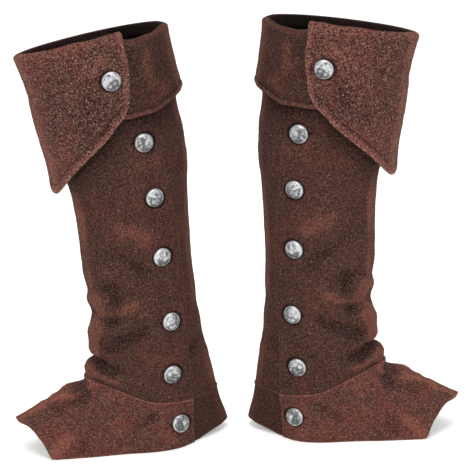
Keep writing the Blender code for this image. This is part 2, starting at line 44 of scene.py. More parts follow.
cover = {
    "wall": 2.0,              # thickness of the suede
    "gap": 0.3,               # clearance between pieces
    "toeTurn": 10.0,          # each toe is turned this far towards the viewer
    "heelToCentre": 12.0,     # from a heel to the middle of the pair
    "slide": 21.770,          # the pair's slide along Y, which centres it on the floor
    "innerSeam": 100.0,       # angle of the inner seam from the front centre
    "seamOver": 0.3,          # the back panel and the heel band run this angle over it, to close it
    "flapBack": 97.0,         # forward place of the cuff's inner seam
    "ankle": 57.0,            # height where the shaft's columns carry on into the foot
    "ankleCentre": 90.0,
    "rimGuess": 455.0,        # a height near the rim, where looking for it starts
    "edgeLift": 0.3,          # the hem's edge line over the floor
    "seamRound": 0.3,         # rounding of an edge that is sewn
    "cutRound": 0.9,          # rounding of a cut edge, as a share of half the wall
    "hide": ((0.45, 52.0), (0.14, 15.0), (0.06, 5.5)),    # waves, ripples and pebbles: size, length
    "hideSpread": (0.7, 1.5),             # each wave's length varies between these times that length
    "hideSeeds": {"leg": 11, "foot": 31, "cuff": 51},
    "creaseStart": (-0.12, 0.3),          # a crease swells between these shares of its line
    "creaseEnd": (1.12, 0.6),             # and dies out between these
    "creaseWidths": (0.8, 1.25),          # its width above and below the line, as shares
    "reliefShadingScale": 8.0,         # the relief that takes the suede from painted crease shade to rubbed ridges with a painted highlight
    "outlineHighlightShape": (2.2, 4.8, 4.0),          # painted highlight by the front and back outlines: size, way in, half width
    "edgeWear": {"cuff_flap": 9.0, "cuff_band": 6.4},     # how far in from the edge it is worn
    "plainEdgeWear": 1.8,
    "seamShade": 1.5,          # half width of the painted shade along the shaft's lower seam
    "cuffShadowFade": 14.667,        # painted shadow under the cuff fades over this length below it
    "buttonRing": (10.4, 13.2),           # the painted shadow round a button fades between these radii
}

# level cuts of the leg: height, back, front, half width, widest point, back sharpness, front sharpness
sections = (
    (40, 9.0, 166.0, 47.5, 86, 1.45, 1.20),
    (57, 11.4, 165.0, 47.0, 86, 1.45, 1.20),
    (75, 14.8, 163.0, 46.7, 86, 1.42, 1.20),
    (93, 17.6, 158.5, 46.5, 87, 1.38, 1.18),
    (112, 20.6, 153.6, 46.3, 88, 1.34, 1.15),
    (133, 23.8, 152.0, 46.3, 89, 1.30, 1.12),
    (155, 27.0, 149.2, 46.5, 90, 1.26, 1.10),
    (181, 28.8, 150.6, 47.0, 91, 1.22, 1.10),
    (211, 30.2, 154.2, 48.0, 92, 1.18, 1.08),
    (250, 30.7, 154.4, 49.5, 93, 1.15, 1.06),
    (291, 29.7, 158.0, 51.5, 95, 1.12, 1.05),
    (330, 28.8, 169.5, 54.0, 99, 1.10, 1.04),
    (357, 30.2, 179.0, 55.5, 103, 1.10, 1.02),
    (380, 35.4, 185.5, 57.0, 109, 1.08, 1.02),
    (410, 38.6, 192.2, 58.5, 114, 1.06, 1.00),
    (447, 40.5, 204.0, 60.0, 120, 1.05, 1.00),
    (485, 43.5, 214.0, 61.0, 127, 1.05, 1.00),
)
# lines in side view: forward, height; the placket's rows are height, forward
ankleSeam = ((0, 55), (46, 54.5), (75, 57), (95, 60.5), (110, 67), (130, 76), (147, 82), (168, 84.5))
placket = ((50, 45.2), (115, 47.0), (168, 46.0), (208, 47.2), (250, 50.2), (293, 55.8), (326, 59.8),
           (350, 64.5), (372, 70.0), (480, 84.0))
rim = ((36, 467.0), (42, 468.6), (49, 469.2), (103, 461.5), (147, 454.5), (210, 444.4))
bandEdge = ((20, 410), (27, 408), (35, 401.5), (48, 394), (60, 388), (71, 385), (82, 384), (93, 382),
            (140, 381))
flapEdge = ((92.5, 402), (95, 393.5), (99, 385.5), (104, 379.5), (110, 373.5), (118, 363.5), (130, 352),
            (145, 337.2), (156, 324.6), (166, 311.3), (173, 301.6), (177, 302.6), (181, 308))
innerFlapEdge = ((96, 382), (103, 375), (116, 361), (130, 350), (145, 339), (156, 329), (166, 319.5),
                 (174, 312.5), (181, 308))
flapRear = ((378, 95.0), (392, 94.2), (406, 94.3), (424, 92.9), (440, 93.4), (452, 95.6), (460, 97.0))
rimDip = ((44, 0), (50, -1.0), (55, -3.0), (62, -4.7), (74, -6.2), (84, -6.8), (92, -5.5), (99, -3.0),
          (110, -0.8), (122, 0))

# soft folds in side view, ridges out and troughs in:
# side (1 outer, -1 inner, 0 both), start forward, start height, end forward, end height, half width, out
legFolds = (
    (1, 139, 188, 125, 195, 8, -2.7),
    (1, 125, 190, 123, 174, 9, -2.5),
    (1, 137, 188, 138, 160, 7, 2.3),
    (1, 146, 146, 148, 120, 10, 2.5),
    (1, 137, 162, 103, 174, 7, 2.6),
    (1, 137, 123, 94, 144, 8, -3.4),
    (1, 154, 163, 128, 155, 8, -4.2),
    (0, 158, 106, 146, 105, 6, -6.5),
    (1, 146, 105, 130, 97, 5, -4.5),
    (1, 150, 113, 132, 106, 5, 2.0),
    (1, 158, 95, 128, 86, 5, 3.2),
    (1, 120, 232, 88, 214, 11, -1.8),
    (1, 112, 262, 84, 250, 12, 1.6),
    (1, 66, 118, 84, 104, 9, -1.6),
    (1, 40, 108, 27, 118, 8, -1.5),
    (1, 36, 140, 30, 158, 8, -1.4),
    (-1, 150, 186, 112, 200, 9, -3.2),
    (-1, 146, 170, 108, 178, 8, 2.6),
    (-1, 148, 152, 100, 138, 9, -3.2),
    (-1, 150, 134, 112, 120, 8, 2.6),
    (-1, 146, 104, 118, 92, 6, -4.0),
    (-1, 152, 94, 122, 82, 6, 2.8),
    (-1, 112, 240, 78, 226, 12, -1.8),
    (-1, 48, 128, 32, 112, 9, -1.8),
)
foldTurn = 16.0               # a fold on one side fades out over this width across the front
rounds = {"line": 12, "ribEnd": 24, "cuffEdge": 14}       # how often each search is repeated


# Maths on whole grids of points

def ease(t):
    t = np.clip(t, 0.0, 1.0)
    return t * t * (3 - 2 * t)


def ramp(value, start, end):
    return ease((value - start) / (end - start))


def bell(value, middle, halfWidth):
    return np.exp(-((value - middle) / halfWidth) ** 2)


def stack(*columns):
    return np.stack(np.broadcast_arrays(*columns), axis=-1)


def unit(vectors):
    return vectors / np.maximum(np.linalg.norm(vectors, axis=-1, keepdims=True), 1e-9)


def smoothTable(table, at, column=1):
    # a smooth curve through one column, over the first
    rows = np.array(table, float)
    xs, ys = rows[:, 0], rows[:, column]
    at = np.clip(at, xs[0], xs[-1])
    i = np.clip(np.searchsorted(xs, at, side="right") - 1, 0, len(xs) - 2)
    before, after = np.maximum(i - 1, 0), np.minimum(i + 2, len(xs) - 1)
    width = xs[i + 1] - xs[i]
    slopeIn = (ys[i + 1] - ys[before]) / (xs[i + 1] - xs[before])
    slopeOut = (ys[after] - ys[i]) / (xs[after] - xs[i])
    t = (at - xs[i]) / width
    return (ys[i] * (1 + 2 * t) * (1 - t) ** 2 + slopeIn * width * t * (1 - t) ** 2
            + ys[i + 1] * t * t * (3 - 2 * t) + slopeOut * width * t * t * (t - 1))


def alongSegment(forward, height, start, end):
    # share of the way along a line in side view, and the way off it, forward and up
    dx, dz = end[0] - start[0], end[1] - start[1]
    t = np.clip(((forward - start[0]) * dx + (height - start[1]) * dz) / (dx * dx + dz * dz), 0, 1)
    return t, forward - start[0] - t * dx, height - start[1] - t * dz


def shownOn(side, out):
    return 1.0 if side == 0 else ease(0.5 + 0.5 * side * out / foldTurn)


def foldHeight(folds, points):
    forward, out, height = np.moveaxis(points, -1, 0)
    total = np.zeros(forward.shape)
    for side, x0, z0, x1, z1, halfWidth, depth in folds:
        _, awayX, awayZ = alongSegment(forward, height, (x0, z0), (x1, z1))
        total += depth * shownOn(side, out) * bell(np.hypot(awayX, awayZ), 0, halfWidth)
    return total


def legPoint(angle, height, folds=()):
    # the shaft's outer face at an angle from the front centre, in degrees, the outer side positive
    back, front, halfWidth, widest, backPower, frontPower = [
        smoothTable(sections, height, k) for k in range(1, 7)]
    ahead, across = np.cos(np.radians(angle)), np.sin(np.radians(angle))
    reach = np.where(ahead > 0, front - widest, widest - back)
    out = halfWidth * np.sign(across) * np.abs(across) ** np.where(ahead > 0, frontPower, backPower)
    points = stack(widest + reach * ahead, out, height)
    if folds:
        away = unit(stack(ahead / reach, across / halfWidth, 0.0))
        points = points + away * foldHeight(folds, points)[..., None]
    return points


def angleAt(forward, height):
    back, front, halfWidth, widest = [smoothTable(sections, height, k) for k in range(1, 5)]
    reach = np.where(forward > widest, front - widest, widest - back)
    return np.degrees(np.arccos(np.clip((forward - widest) / reach, -1, 1)))


def heightOn(table, angleOf, start):
    # where each column meets a line in side view, found by going back and forth
    height = start
    for _ in range(rounds["line"]):
        height = smoothTable(table, legPoint(angleOf(height), height)[..., 0])
    return height


def rimHeight(angle):
    height = heightOn(rim, lambda at: angle, np.full(np.shape(angle), cover["rimGuess"]))
    points = legPoint(angle, height)
    return height + np.where(points[..., 1] > 0, smoothTable(rimDip, points[..., 0]), 0.0)


def levelNormal(angle, height):
    # the way out of the leg's face, without its slope
    around = legPoint(angle + 0.02, height) - legPoint(angle - 0.02, height)
    return unit(stack(around[..., 1], -around[..., 0], 0.0))


def faceNormals(points):
    # columns run from the inner side round the front, rows run up
    across = np.gradient(points, axis=1)
    along = np.gradient(points, axis=0)
    return unit(np.cross(across, along))


def shares(steps, fine=(0.0, 0.002, 0.006, 0.013, 0.022), both=True):
    # even steps from 0 to 1, with closer ones at the start and, for both, at the end
    middle = np.linspace(fine[-1], 1 - fine[-1] if both else 1.0, steps)
    ends = 1 - np.array(fine[:-1])[::-1] if both else []
    return np.concatenate([fine[:-1], middle, ends])


def waves(points, seed, wavelength, size, count=26):
    # gentle waviness of hand-cut hide: soft waves in every direction
    draw = np.random.default_rng(seed)
    ways = unit(draw.normal(size=(count, 3)))
    lengths = wavelength * draw.uniform(*cover["hideSpread"], count)
    starts = draw.uniform(0, math.tau, count)
    total = sum(np.sin(points @ way * (math.tau / length) + start)
                for way, length, start in zip(ways, lengths, starts))
    return total * size / math.sqrt(count / 2)


# Sharper creases that lie on the soft folds, in side view:
# side, then points as forward, height; half width; out
creases = {
    "leg": (
        (1, ((143, 191), (134, 193.5), (124, 194)), 3.2, -1.3),
        (1, ((127, 192), (122, 184), (121, 172)), 4.0, -1.0),
        (1, ((140, 190), (140.5, 178), (140, 166), (137, 158)), 2.6, 1.9),
        (1, ((137, 160), (124, 163), (108, 168)), 3.4, 1.4),
        (1, ((137, 121), (118, 131), (96, 141)), 3.6, -1.9),
        (1, ((128, 137), (112, 147), (98, 152)), 4.5, 0.9),
        (1, ((144, 158), (143, 148), (144, 134)), 4.5, 1.0),
        (1, ((152, 110), (141, 103.5), (134, 97)), 2.6, -2.2),
        (1, ((152, 115), (142, 108), (131, 100)), 2.4, 1.6),
        (1, ((155, 99), (140, 95), (126, 88)), 2.8, -1.9),
        (1, ((158, 93), (143, 87), (126, 79)), 2.6, 1.5),
        (1, ((148, 284), (147.5, 262), (147, 244)), 3.4, 1.2),
        (1, ((112, 225), (98, 216), (86, 212)), 5.0, -0.7),
        (1, ((106, 108), (92, 99), (82, 96)), 4.0, -0.8),
        (1, ((58, 128), (50, 108), (52, 92)), 5.0, 0.7),
        (1, ((36, 190), (40, 150), (33, 118)), 4.5, 0.8),
        (1, ((40, 345), (38, 318), (36, 296)), 5.0, -0.8),
        (-1, ((150, 186), (132, 196), (112, 200)), 3.4, -1.6),
        (-1, ((147, 170), (128, 172), (108, 179)), 3.6, 1.4),
        (-1, ((150, 150), (124, 150), (100, 138)), 3.6, -1.7),
        (-1, ((150, 134), (130, 130), (110, 119)), 3.6, 1.3),
        (-1, ((152, 108), (136, 101), (118, 93)), 2.8, -1.9),
        (-1, ((156, 94), (140, 90), (122, 82)), 2.8, 1.4),
        (-1, ((112, 240), (96, 236), (78, 226)), 5.0, -0.8),
        (-1, ((60, 150), (50, 128), (34, 112)), 4.5, -0.9),
        (-1, ((58, 300), (52, 270), (54, 242)), 6.0, 0.8),
    ),
    "foot": (
        (1, ((158, 77), (166, 71.5), (178, 66.5), (192, 64), (205, 61.5)), 1.8, 2.2),
        (1, ((166, 77), (180, 71), (194, 68)), 2.4, -1.3),
        (0, ((163, 83), (172, 79), (183, 74)), 5.5, -2.6),
        (0, ((188, 70), (194, 68), (200, 65)), 6.0, -1.6),
        (0, ((210, 61), (217, 57), (226, 53)), 6.0, 1.2),
        (1, ((206, 3), (196, 14), (187, 21), (178, 28)), 2.0, 1.4),
        (1, ((196, 2), (186, 13), (176, 22)), 3.0, -0.9),
        (1, ((152, 60), (170, 50), (190, 46)), 5.0, -0.7),
        (1, ((88, 45), (104, 32), (122, 22)), 4.5, -0.8),
        (1, ((120, 52), (138, 40), (152, 22)), 5.0, 0.6),
        (-1, ((160, 77), (180, 70), (204, 62)), 2.4, 1.2),
        (-1, ((172, 60), (188, 52), (202, 42)), 3.4, -1.0),
        (-1, ((200, 4), (186, 16), (174, 26)), 2.6, 1.0),
        (-1, ((92, 44), (110, 30), (128, 20)), 4.5, -0.8),
    ),
    "cuff": (
        (1, ((90, 459), (88, 448), (85, 436), (84, 424)), 4.2, -1.9),
        (1, ((88, 455), (80, 449), (73, 447)), 4.5, -1.1),
        (1, ((64, 452), (58, 430), (50, 414)), 5.0, -0.7),
        (1, ((150, 430), (150, 404), (152, 380)), 7.0, 0.6),
        (1, ((128, 392), (140, 368), (150, 346)), 6.0, -0.6),
        (1, ((172, 440), (176, 400), (172, 360)), 7.0, 0.5),
        (-1, ((84, 452), (80, 432), (78, 408)), 4.5, -0.9),
        (-1, ((140, 430), (146, 400), (152, 366)), 7.0, 0.7),
        (-1, ((62, 446), (56, 426), (50, 412)), 5.0, 0.7),
    ),
}


def creaseHeight(group, points):
    # each crease swells along its line and is steeper on its upper side
    forward, out, height = np.moveaxis(points, -1, 0)
    total = np.zeros(forward.shape)
    for side, line, halfWidth, depth in creases[group]:
        spans = np.linalg.norm(np.diff(line, axis=0), axis=1)
        starts = np.concatenate([[0], np.cumsum(spans)])
        best, along, above = np.full(total.shape, 1e9), 0.0, 0.0
        for start, end, begun, span in zip(line[:-1], line[1:], starts, spans):
            t, awayX, awayZ = alongSegment(forward, height, start, end)
            far = np.hypot(awayX, awayZ)
            along = np.where(far < best, (begun + t * span) / starts[-1], along)
            above = np.where(far < best, awayZ, above)
            best = np.minimum(far, best)
        swell = ramp(along, *cover["creaseStart"]) * ramp(along, *cover["creaseEnd"])
        width = halfWidth * np.where(above > 0, *cover["creaseWidths"])
        total += depth * shownOn(side, out) * swell * bell(best, 0, width)
    return total


def relief(group, points):
    # creases, and the hide's own waviness
    total = creaseHeight(group, points)
    for seed, (size, wavelength) in enumerate(cover["hide"], start=cover["hideSeeds"][group]):
        total = total + waves(points, seed, wavelength, size)
    return total


# Buttons' places in side view: the piece that each sits on, forward and height, and its slit's length

seats = (
    ("cuff_flap", 111.7, 422.4, 11.9),
    ("shaft_front", 79.7, 354.2, 14.6),
    ("shaft_front", 72.8, 292.1, 12.2),
    ("shaft_front", 68.7, 225.8, 11.8),
    ("shaft_front", 63.6, 149.6, 12.6),
    ("shaft_front", 66.4, 89.2, 11.8),
    ("vamp", 61.1, 29.6, 13.8),
)


def underButtons(node, points):
    # 1 where a button presses the suede, and a ring of painted shadow just round it
    press = np.zeros(points.shape[:2])
    for name, forward, height, _ in seats:
        if name == node:
            far = np.hypot(points[..., 0] - forward, points[..., 2] - height)
            press += np.where(points[..., 1] > 0, 1 - ramp(far, *cover["buttonRing"]), 0)
    return press


def cuffEdge(kind, points):
    # height of the cuff's free edge over forward places
    outer, inner = (flapEdge, innerFlapEdge) if kind == "cuff_flap" else (bandEdge, bandEdge)
    forward = points[..., 0]
    return np.where(points[..., 1] > 0, smoothTable(outer, forward), smoothTable(inner, forward))


def underCuff(points):
    # 1 beneath the cuff, fading out below its edge: painted shadow cast by the cuff
    behind = points[..., 0] < cover["flapBack"]
    edge = np.where(behind, cuffEdge("cuff_band", points), cuffEdge("cuff_flap", points))
    return np.exp(-np.clip(edge - points[..., 2], 0, None) / cover["cuffShadowFade"])


# Thin walls of suede with rounded cut edges

def toWorld(points):
    # from the left cover's own millimetres to metres in the frame
    turn = math.radians(cover["toeTurn"])
    x, y, z = points[..., 0], points[..., 1], points[..., 2]
    across = cover["heelToCentre"] + x * math.cos(turn) - y * math.sin(turn)
    return stack(-across, cover["slide"] - x * math.sin(turn) - y * math.cos(turn), z) / 1000


def gridSteps(points):
    # distances along each row from its first point, and up each column from its lowest
    stepAcross = np.linalg.norm(np.diff(points, axis=1), axis=-1)
    stepUp = np.linalg.norm(np.diff(points, axis=0), axis=-1)
    across = np.pad(np.cumsum(stepAcross, axis=1), ((0, 0), (1, 0)))
    up = np.pad(np.cumsum(stepUp, axis=0), ((1, 0), (0, 0)))
    return across, up


def borderDistance(points, *sides):
    # shortest way over the skin to one of the named borders, square to that border
    across, up = gridSteps(points)
    lanes = np.swapaxes(points, 0, 1)
    borders = {"left": (across, lanes), "right": (across[:, -1:] - across, lanes[::-1]),
               "bottom": (up, points), "top": (up[-1:] - up, points[::-1])}
    found = []
    for side in sides:
        way, grid = borders[side]
        slant = np.linalg.norm(np.cross(unit(grid[1] - grid[0]), unit(np.gradient(grid[0], axis=0))), axis=-1)
        found.append(way * (slant if side in ("bottom", "top") else slant[:, None]))
    return np.minimum.reduce(found)


def outlineHighlight(points):
    # 1 along the front and back outlines, a little way in: a painted highlight where grazing light falls on
    # the folded suede
    forward, height = points[..., 0], points[..., 2]
    near = np.full(forward.shape, 99.0)
    for sign in (1, -1):
        lane = int(np.argmax(sign * forward.mean(axis=0)))
        if 0 < lane < forward.shape[1] - 1:
            rows = slice(0, int(np.argmax(height[:, lane])) + 1)
            outline = np.interp(height, height[rows, lane], forward[rows, lane])
            near = np.minimum(near, np.abs(outline - forward))
    return bell(near, *cover["outlineHighlightShape"][1:])


def makeSkin(node, points, lift, freeSides, raised, hidden=0.0, groove=0.0):
    # points are the leg's surface, lift is the suede's inner face over it, raised is what folds add
    normals = faceNormals(points)
    half = cover["wall"] / 2
    share = np.ones(points.shape[:2])
    for side in ("left", "right", "bottom", "top"):
        # a cut edge is worn round, and a seam closes tightly
        radius = half * cover["cutRound"] if side in freeSides else cover["seamRound"]
        near = np.clip(borderDistance(points, side) / radius, 0, 1)
        share = np.minimum(share, np.sqrt(np.clip(1 - (1 - near) ** 2, 0, 1)))
    middle, reach = points + normals * (lift + half)[..., None], normals * (share * half)[..., None]
    # painted highlight along the front and back outlines, added to the relief
    raised = raised + cover["outlineHighlightShape"][0] * outlineHighlight(points) * (1 - hidden)
    worn = borderDistance(points, *freeSides) / cover["edgeWear"].get(node, cover["plainEdgeWear"])
    onShaft = node.startswith("shaft")
    # painted shade along the shaft's lower seam
    seamShade = bell(borderDistance(points, "bottom"), 0, cover["seamShade"]) if onShaft else 0.0
    # rubbing, with painted shade in the troughs and painted highlight on the ridges
    looks = {"wear": 0.5 + raised / cover["reliefShadingScale"], "edge": 1 - worn, "groove": groove,
             # painted shadow under the cuff
             "shade": underCuff(points) if onShaft else 0.0,
             # painted shade round the buttons and along the lower seam
             "soil": np.maximum(underButtons(node, points), seamShade), "inside": hidden}
    looks = {label: np.clip(np.broadcast_to(data, share.shape), 0, 1) for label, data in looks.items()}
    return {"outer": middle + reach, "inner": middle - reach, "normals": normals, "steps": gridSteps(points),
            "looks": looks}


def linked(name, data, *materials):
    made = bpy.data.objects.new(name, data)
    bpy.context.scene.collection.objects.link(made)
    for material in materials:
        data.materials.append(material)
    return made


def newMesh(name, verts, faces, edges=(), values=None, smooth=True):
    mesh = bpy.data.meshes.new(name)
    mesh.from_pydata(verts, edges, faces)
    for label, data in (values or {}).items():
        mesh.attributes.new(label, "FLOAT", "POINT").data.foreach_set("value", data.astype(np.float32))
    if smooth:
        mesh.shade_smooth()
    return mesh


def leftName(node, extra=""):
    return "left" + extra + node.title().replace("_", "")


def skinMesh(node, skin):
    # one closed mesh, the outer and inner faces sharing the border's points
    outer, inner = toWorld(skin["outer"]), toWorld(skin["inner"])
    ids = np.arange(outer[..., 0].size).reshape(outer.shape[:2])
    back = ids.copy()
    back[1:-1, 1:-1] += ids.size

    def quads(grid):
        return np.stack([grid[:-1, :-1], grid[:-1, 1:], grid[1:, 1:], grid[1:, :-1]], axis=-1).reshape(-1, 4)

    faces = np.concatenate([quads(ids), quads(back)[:, ::-1]])
    verts = np.concatenate([outer.reshape(-1, 3), inner.reshape(-1, 3)])
    used = np.zeros(len(verts), bool)
    used[faces] = True
    values = {label: np.tile(data.reshape(-1), 2) for label, data in skin["looks"].items()}
    values["inside"][ids.size:] = 1.0
    mesh = newMesh(leftName(node), verts[used].tolist(), (np.cumsum(used) - 1)[faces].tolist(),
                   values={label: data[used] for label, data in values.items()})
    flat = np.tile(np.stack(skin["steps"], axis=-1).reshape(-1, 2) / 1000, (2, 1))[used]
    corners = np.zeros(len(mesh.loops), np.int32)
    mesh.loops.foreach_get("vertex_index", corners)
    mesh.uv_layers.new(name="cut").data.foreach_set("uv", flat[corners].astype(np.float32).reshape(-1))
    return mesh


def mirrored(piece, name):
    # the right cover's piece, with its faces turned back outwards
    mesh = piece.data.copy()
    mesh.name = name
    mesh.transform(Matrix.Diagonal((-1, 1, 1, 1)))
    mesh.flip_normals()
    return linked(name, mesh)


def columnAngles(node, across):
    # the columns' angles at a height, from a piece's first edge line to its last
    first, last = edgeLines[node]
    return lambda height: first(height) + (last(height) - first(height)) * across


def sunk(share):
    # the upper layer's inner face over the leg, which sinks back into line ahead of the lap
    return cover["gap"] - (cover["gap"] + cover["wall"]) * ease(share)


# Shaft: a front panel whose rear edge laps over the back panel

shaft = {
    "columns": {"shaft_front": 120, "shaft_back": 82},
    "rows": 170,
    "closeRows": (0.0, 0.001, 0.0025, 0.005, 0.009),      # shares of the height, at either end
    "tuck": 1.2,              # how far its lower edge is tucked behind the foot
    "calm": 8.0,              # creases die out over this height at either end
    "lap": 33.0,
    "lapEase": 22.0,
    "placketEdge": (1.6, 1.4, 0.25),      # the cut edge stands up a little: from the edge, half width, out
}


def placketAngle(height, ahead=0.0):
    return angleAt(smoothTable(placket, height) + ahead, height)


def underlapAngle(height):
    return placketAngle(height, shaft["lap"])


innerSeamFront = -cover["innerSeam"]
innerSeamBack = 360 - cover["innerSeam"] + cover["seamOver"]
edgeLines = {"shaft_front": (lambda height: innerSeamFront, placketAngle),
             "shaft_back": (underlapAngle, lambda height: innerSeamBack)}


def shaftSkin(node):
    across = shares(shaft["columns"][node])
    angleOf = columnAngles(node, across)
    low = heightOn(ankleSeam, angleOf, np.full(len(across), cover["ankle"])) - shaft["tuck"]
    high = rimHeight(angleOf(np.full(len(across), cover["rimGuess"]))) - cover["gap"]
    height = low + (high - low) * shares(shaft["rows"], shaft["closeRows"])[:, None]
    plain = legPoint(angleOf(height), height)
    points = legPoint(angleOf(height), height, legFolds)
    added = relief("leg", plain)
    calm = ramp(height - low, 0, shaft["calm"]) * ramp(high - height, 0, shaft["calm"])
    points = points + faceNormals(points) * (added * calm)[..., None]
    lift = np.full(height.shape, -cover["wall"])
    if node == "shaft_front":
        ahead = plain[..., 0] - smoothTable(placket, height)
        lift = np.where(plain[..., 1] > 0, sunk((ahead - shaft["lap"]) / shaft["lapEase"]), lift)
        at, width, size = shaft["placketEdge"]
        lift = lift + size * bell(borderDistance(points, "right"), at, width)
    sides = ("right",) if node == "shaft_front" else ("left",)
    return makeSkin(node, points, lift, sides, foldHeight(legFolds, plain) + added)


skins = {node: shaftSkin(node) for node in ("shaft_front", "shaft_back")}
print("shaft skins:", [skin["outer"].shape for skin in skins.values()])


# Foot: a vamp over the instep and a band round the heel

foot = {
    "columns": {"vamp": 125, "heel_band": 72},
    "rows": {"vamp": 56, "heel_band": 30},
    "proud": 1.0,             # its top edge stands out from the shaft
    "lapEase": 20.0,          # in degrees
    "calm": 9.0,              # creases die out over this height at the floor
    "calmShare": 0.1,         # and over this share of the way down at the ankle
    "bead": (2.2, 1.5, 0.5),  # rolled top edge: from the edge, half width, out
    "aim": (110.0, 1.6, 22.0),            # folds point away from here: forward, weight sideways, upwards
}
# ribs from the ankle seam down, each through a middle point to its end on the hem or the toe edge:
# angle, then middle and end as forward, out, height
ribs = (
    (0, 186, 0.0, 70.0, 244, 0.0, 42.5),
    (12, 185, 11.5, 67.2, 240, 9.5, 39.5),
    (24, 182, 21.5, 61.0, 229, 20.5, 36.0),
    (33, 177, 29.0, 55.0, 218, 30.5, 22.5),
    (43, 171, 35.5, 48.0, 202.5, 37.5, -3.0),
    (58, 149, 41.0, 41.0, 172, 42.5, -3.0),
    (72, 122, 45.5, 35.0, 136, 45.5, -3.0),
    (90, 90, 48.5, 30.0, 95, 49.5, -3.0),
    (107, 66, 46.0, 28.0, 66, 46.5, -3.0),
    (123, 46, 36.5, 27.5, 46, 34.8, -1.0),
    (140, 28, 26.0, 30.5, 26, 24.5, 5.0),
    (158, 13, 15.5, 33.0, 10, 14.5, 8.5),
    (170, 8, 8.0, 33.2, 3, 7.0, 9.7),
    (180, 6.5, 0.0, 33.0, 0, 0.0, 10.0),
)
# folds here and on the cuff have the same columns as the leg's
footFolds = (
    (0, 170, 82, 166, 72, 8, -5.5),
    (1, 164, 75, 190, 66, 4, 1.4),
    (1, 190, 66, 212, 62, 5, 0.6),
    (1, 168, 64, 198, 52, 6, -1.8),
    (1, 204, 4, 186, 22, 7, 2.4),
    (1, 178, 6, 168, 30, 8, -1.6),
    (1, 92, 44, 118, 22, 9, -1.4),
    (-1, 162, 76, 200, 62, 5, 1.8),
    (-1, 172, 60, 200, 44, 7, -1.8),
    (-1, 200, 6, 176, 26, 8, 2.2),
)


def footRib(angle):
    # the three points that a rib's curve is drawn from
    turn = np.abs((angle + 180) % 360 - 180)
    side = np.sign(np.sin(np.radians(angle)))
    row = [smoothTable(ribs, turn, k) for k in range(1, 7)]
    top = heightOn(ankleSeam, lambda at: angle, np.full(np.shape(angle), cover["ankle"]))
    start = legPoint(angle, top)
    start = start + unit(stack(start[..., 0] - cover["ankleCentre"], start[..., 1], 0.0)) * foot["proud"]
    start[..., 2] -= cover["gap"] / 2
    middle = stack(row[0], side * row[1], row[2])
    end = stack(row[3], side * row[4], row[5])
    return start, middle * 2 - (start + end) / 2, end


def footPoint(rib, t):
    start, pull, end = rib
    t = t[..., None]
    return start * (1 - t) ** 2 + pull * 2 * t * (1 - t) + end * t * t


def footSkin(node, first, last):
    angle = first + (last - first) * shares(foot["columns"][node])
    rib = footRib(angle)
    low, high = np.zeros(len(angle)), np.ones(len(angle))
    floor = np.maximum(rib[2][..., 2], cover["edgeLift"])
    for _ in range(rounds["ribEnd"]):
        # halving finds where each rib reaches its end or the floor
        end = (low + high) / 2
        above = footPoint(rib, end)[..., 2] > floor
        low, high = np.where(above, end, low), np.where(above, high, end)
    t = end * (1 - shares(foot["rows"][node]))[:, None]
    plain = footPoint(rib, t)
    centre, sideways, upward = foot["aim"]
    away = unit(stack(plain[..., 0] - centre, plain[..., 1] * sideways, upward))
    folded = foldHeight(footFolds, plain) * ease(4 * t)
    points = plain + away * folded[..., None]
    added = relief("foot", plain) * ramp(plain[..., 2], 0, foot["calm"]) * ramp(t, 0, foot["calmShare"])
    points = points + faceNormals(points) * added[..., None]
    points[..., 2] = np.maximum(points[..., 2], cover["edgeLift"])
    lift = np.full(t.shape, -cover["wall"])
    if node == "vamp":
        lapStart = underlapAngle(ankleHeight)
        lift = np.where(angle > 0, sunk((lapStart - angle) / foot["lapEase"]), lift)
    at, width, size = foot["bead"]
    lift = lift + size * bell(borderDistance(points, "top"), at, width)
    sides = ("right", "bottom", "top") if node == "vamp" else ("bottom", "top")
    return makeSkin(node, points, lift, sides, folded + added)


ankleHeight = np.array(cover["ankle"])
skins["vamp"] = footSkin("vamp", innerSeamFront, float(placketAngle(ankleHeight)))
skins["heel_band"] = footSkin("heel_band", float(underlapAngle(ankleHeight)), innerSeamBack)
print("foot skins:", skins["vamp"]["outer"].shape, skins["heel_band"]["outer"].shape)


# Cuff: a pointed flap and a back band, each turned down over the rim

cuff = {
    "columns": {"cuff_flap": 118, "cuff_band": 84},
    "rows": {"cuff_flap": 88, "cuff_band": 48},           # down the outside
    "closeRows": (0.0, 0.0016, 0.004, 0.0075, 0.012, 0.018, 0.025, 0.033),
    "turnRows": 9,            # over the rim
    "lowGuess": 385.0,        # a height near its free edge, where looking for that starts
    "inside": 9.0,            # how far it reaches down inside
    "insideShares": (0.3, 0.6, 0.8, 0.9, 0.95, 0.98, 1.0),
    "clear": 0.8,
    "flapLift": 0.004,        # how much further the flap stands off for each unit of drop
    "bandEnd": 132.0,         # the band runs on under the flap to here
    "overPlacket": (60, 74),  # forward places where it steps up on to the shaft's lap
    "overBand": (133, 172),   # and where the flap sinks back beyond the band's end
    "calm": 14.0,             # folds die out over this height at the rim
    "riseTurn": 12.0,         # its fold's rise grows over these degrees from the front centre
    "seamOver": 0.2,          # the flap closes tightly on the band at the inner seam
    "seamIn": {"cuff_flap": 9.0, "cuff_band": 6.0},       # topstitching, in from the cut edge
    "groove": (0.9, -0.85),   # its half width, out
    "bead": (0.5, 0.42, 0.3),             # the edge outside it, swollen: middle and half width as shares, out
    "rimWearAndHighlight": (2.2, 1.3),    # rubbing and painted highlight where it turns over: half width, size
    "turnHidden": (0.25, 0.8),            # shares of the turn between which it comes to lie inside
}
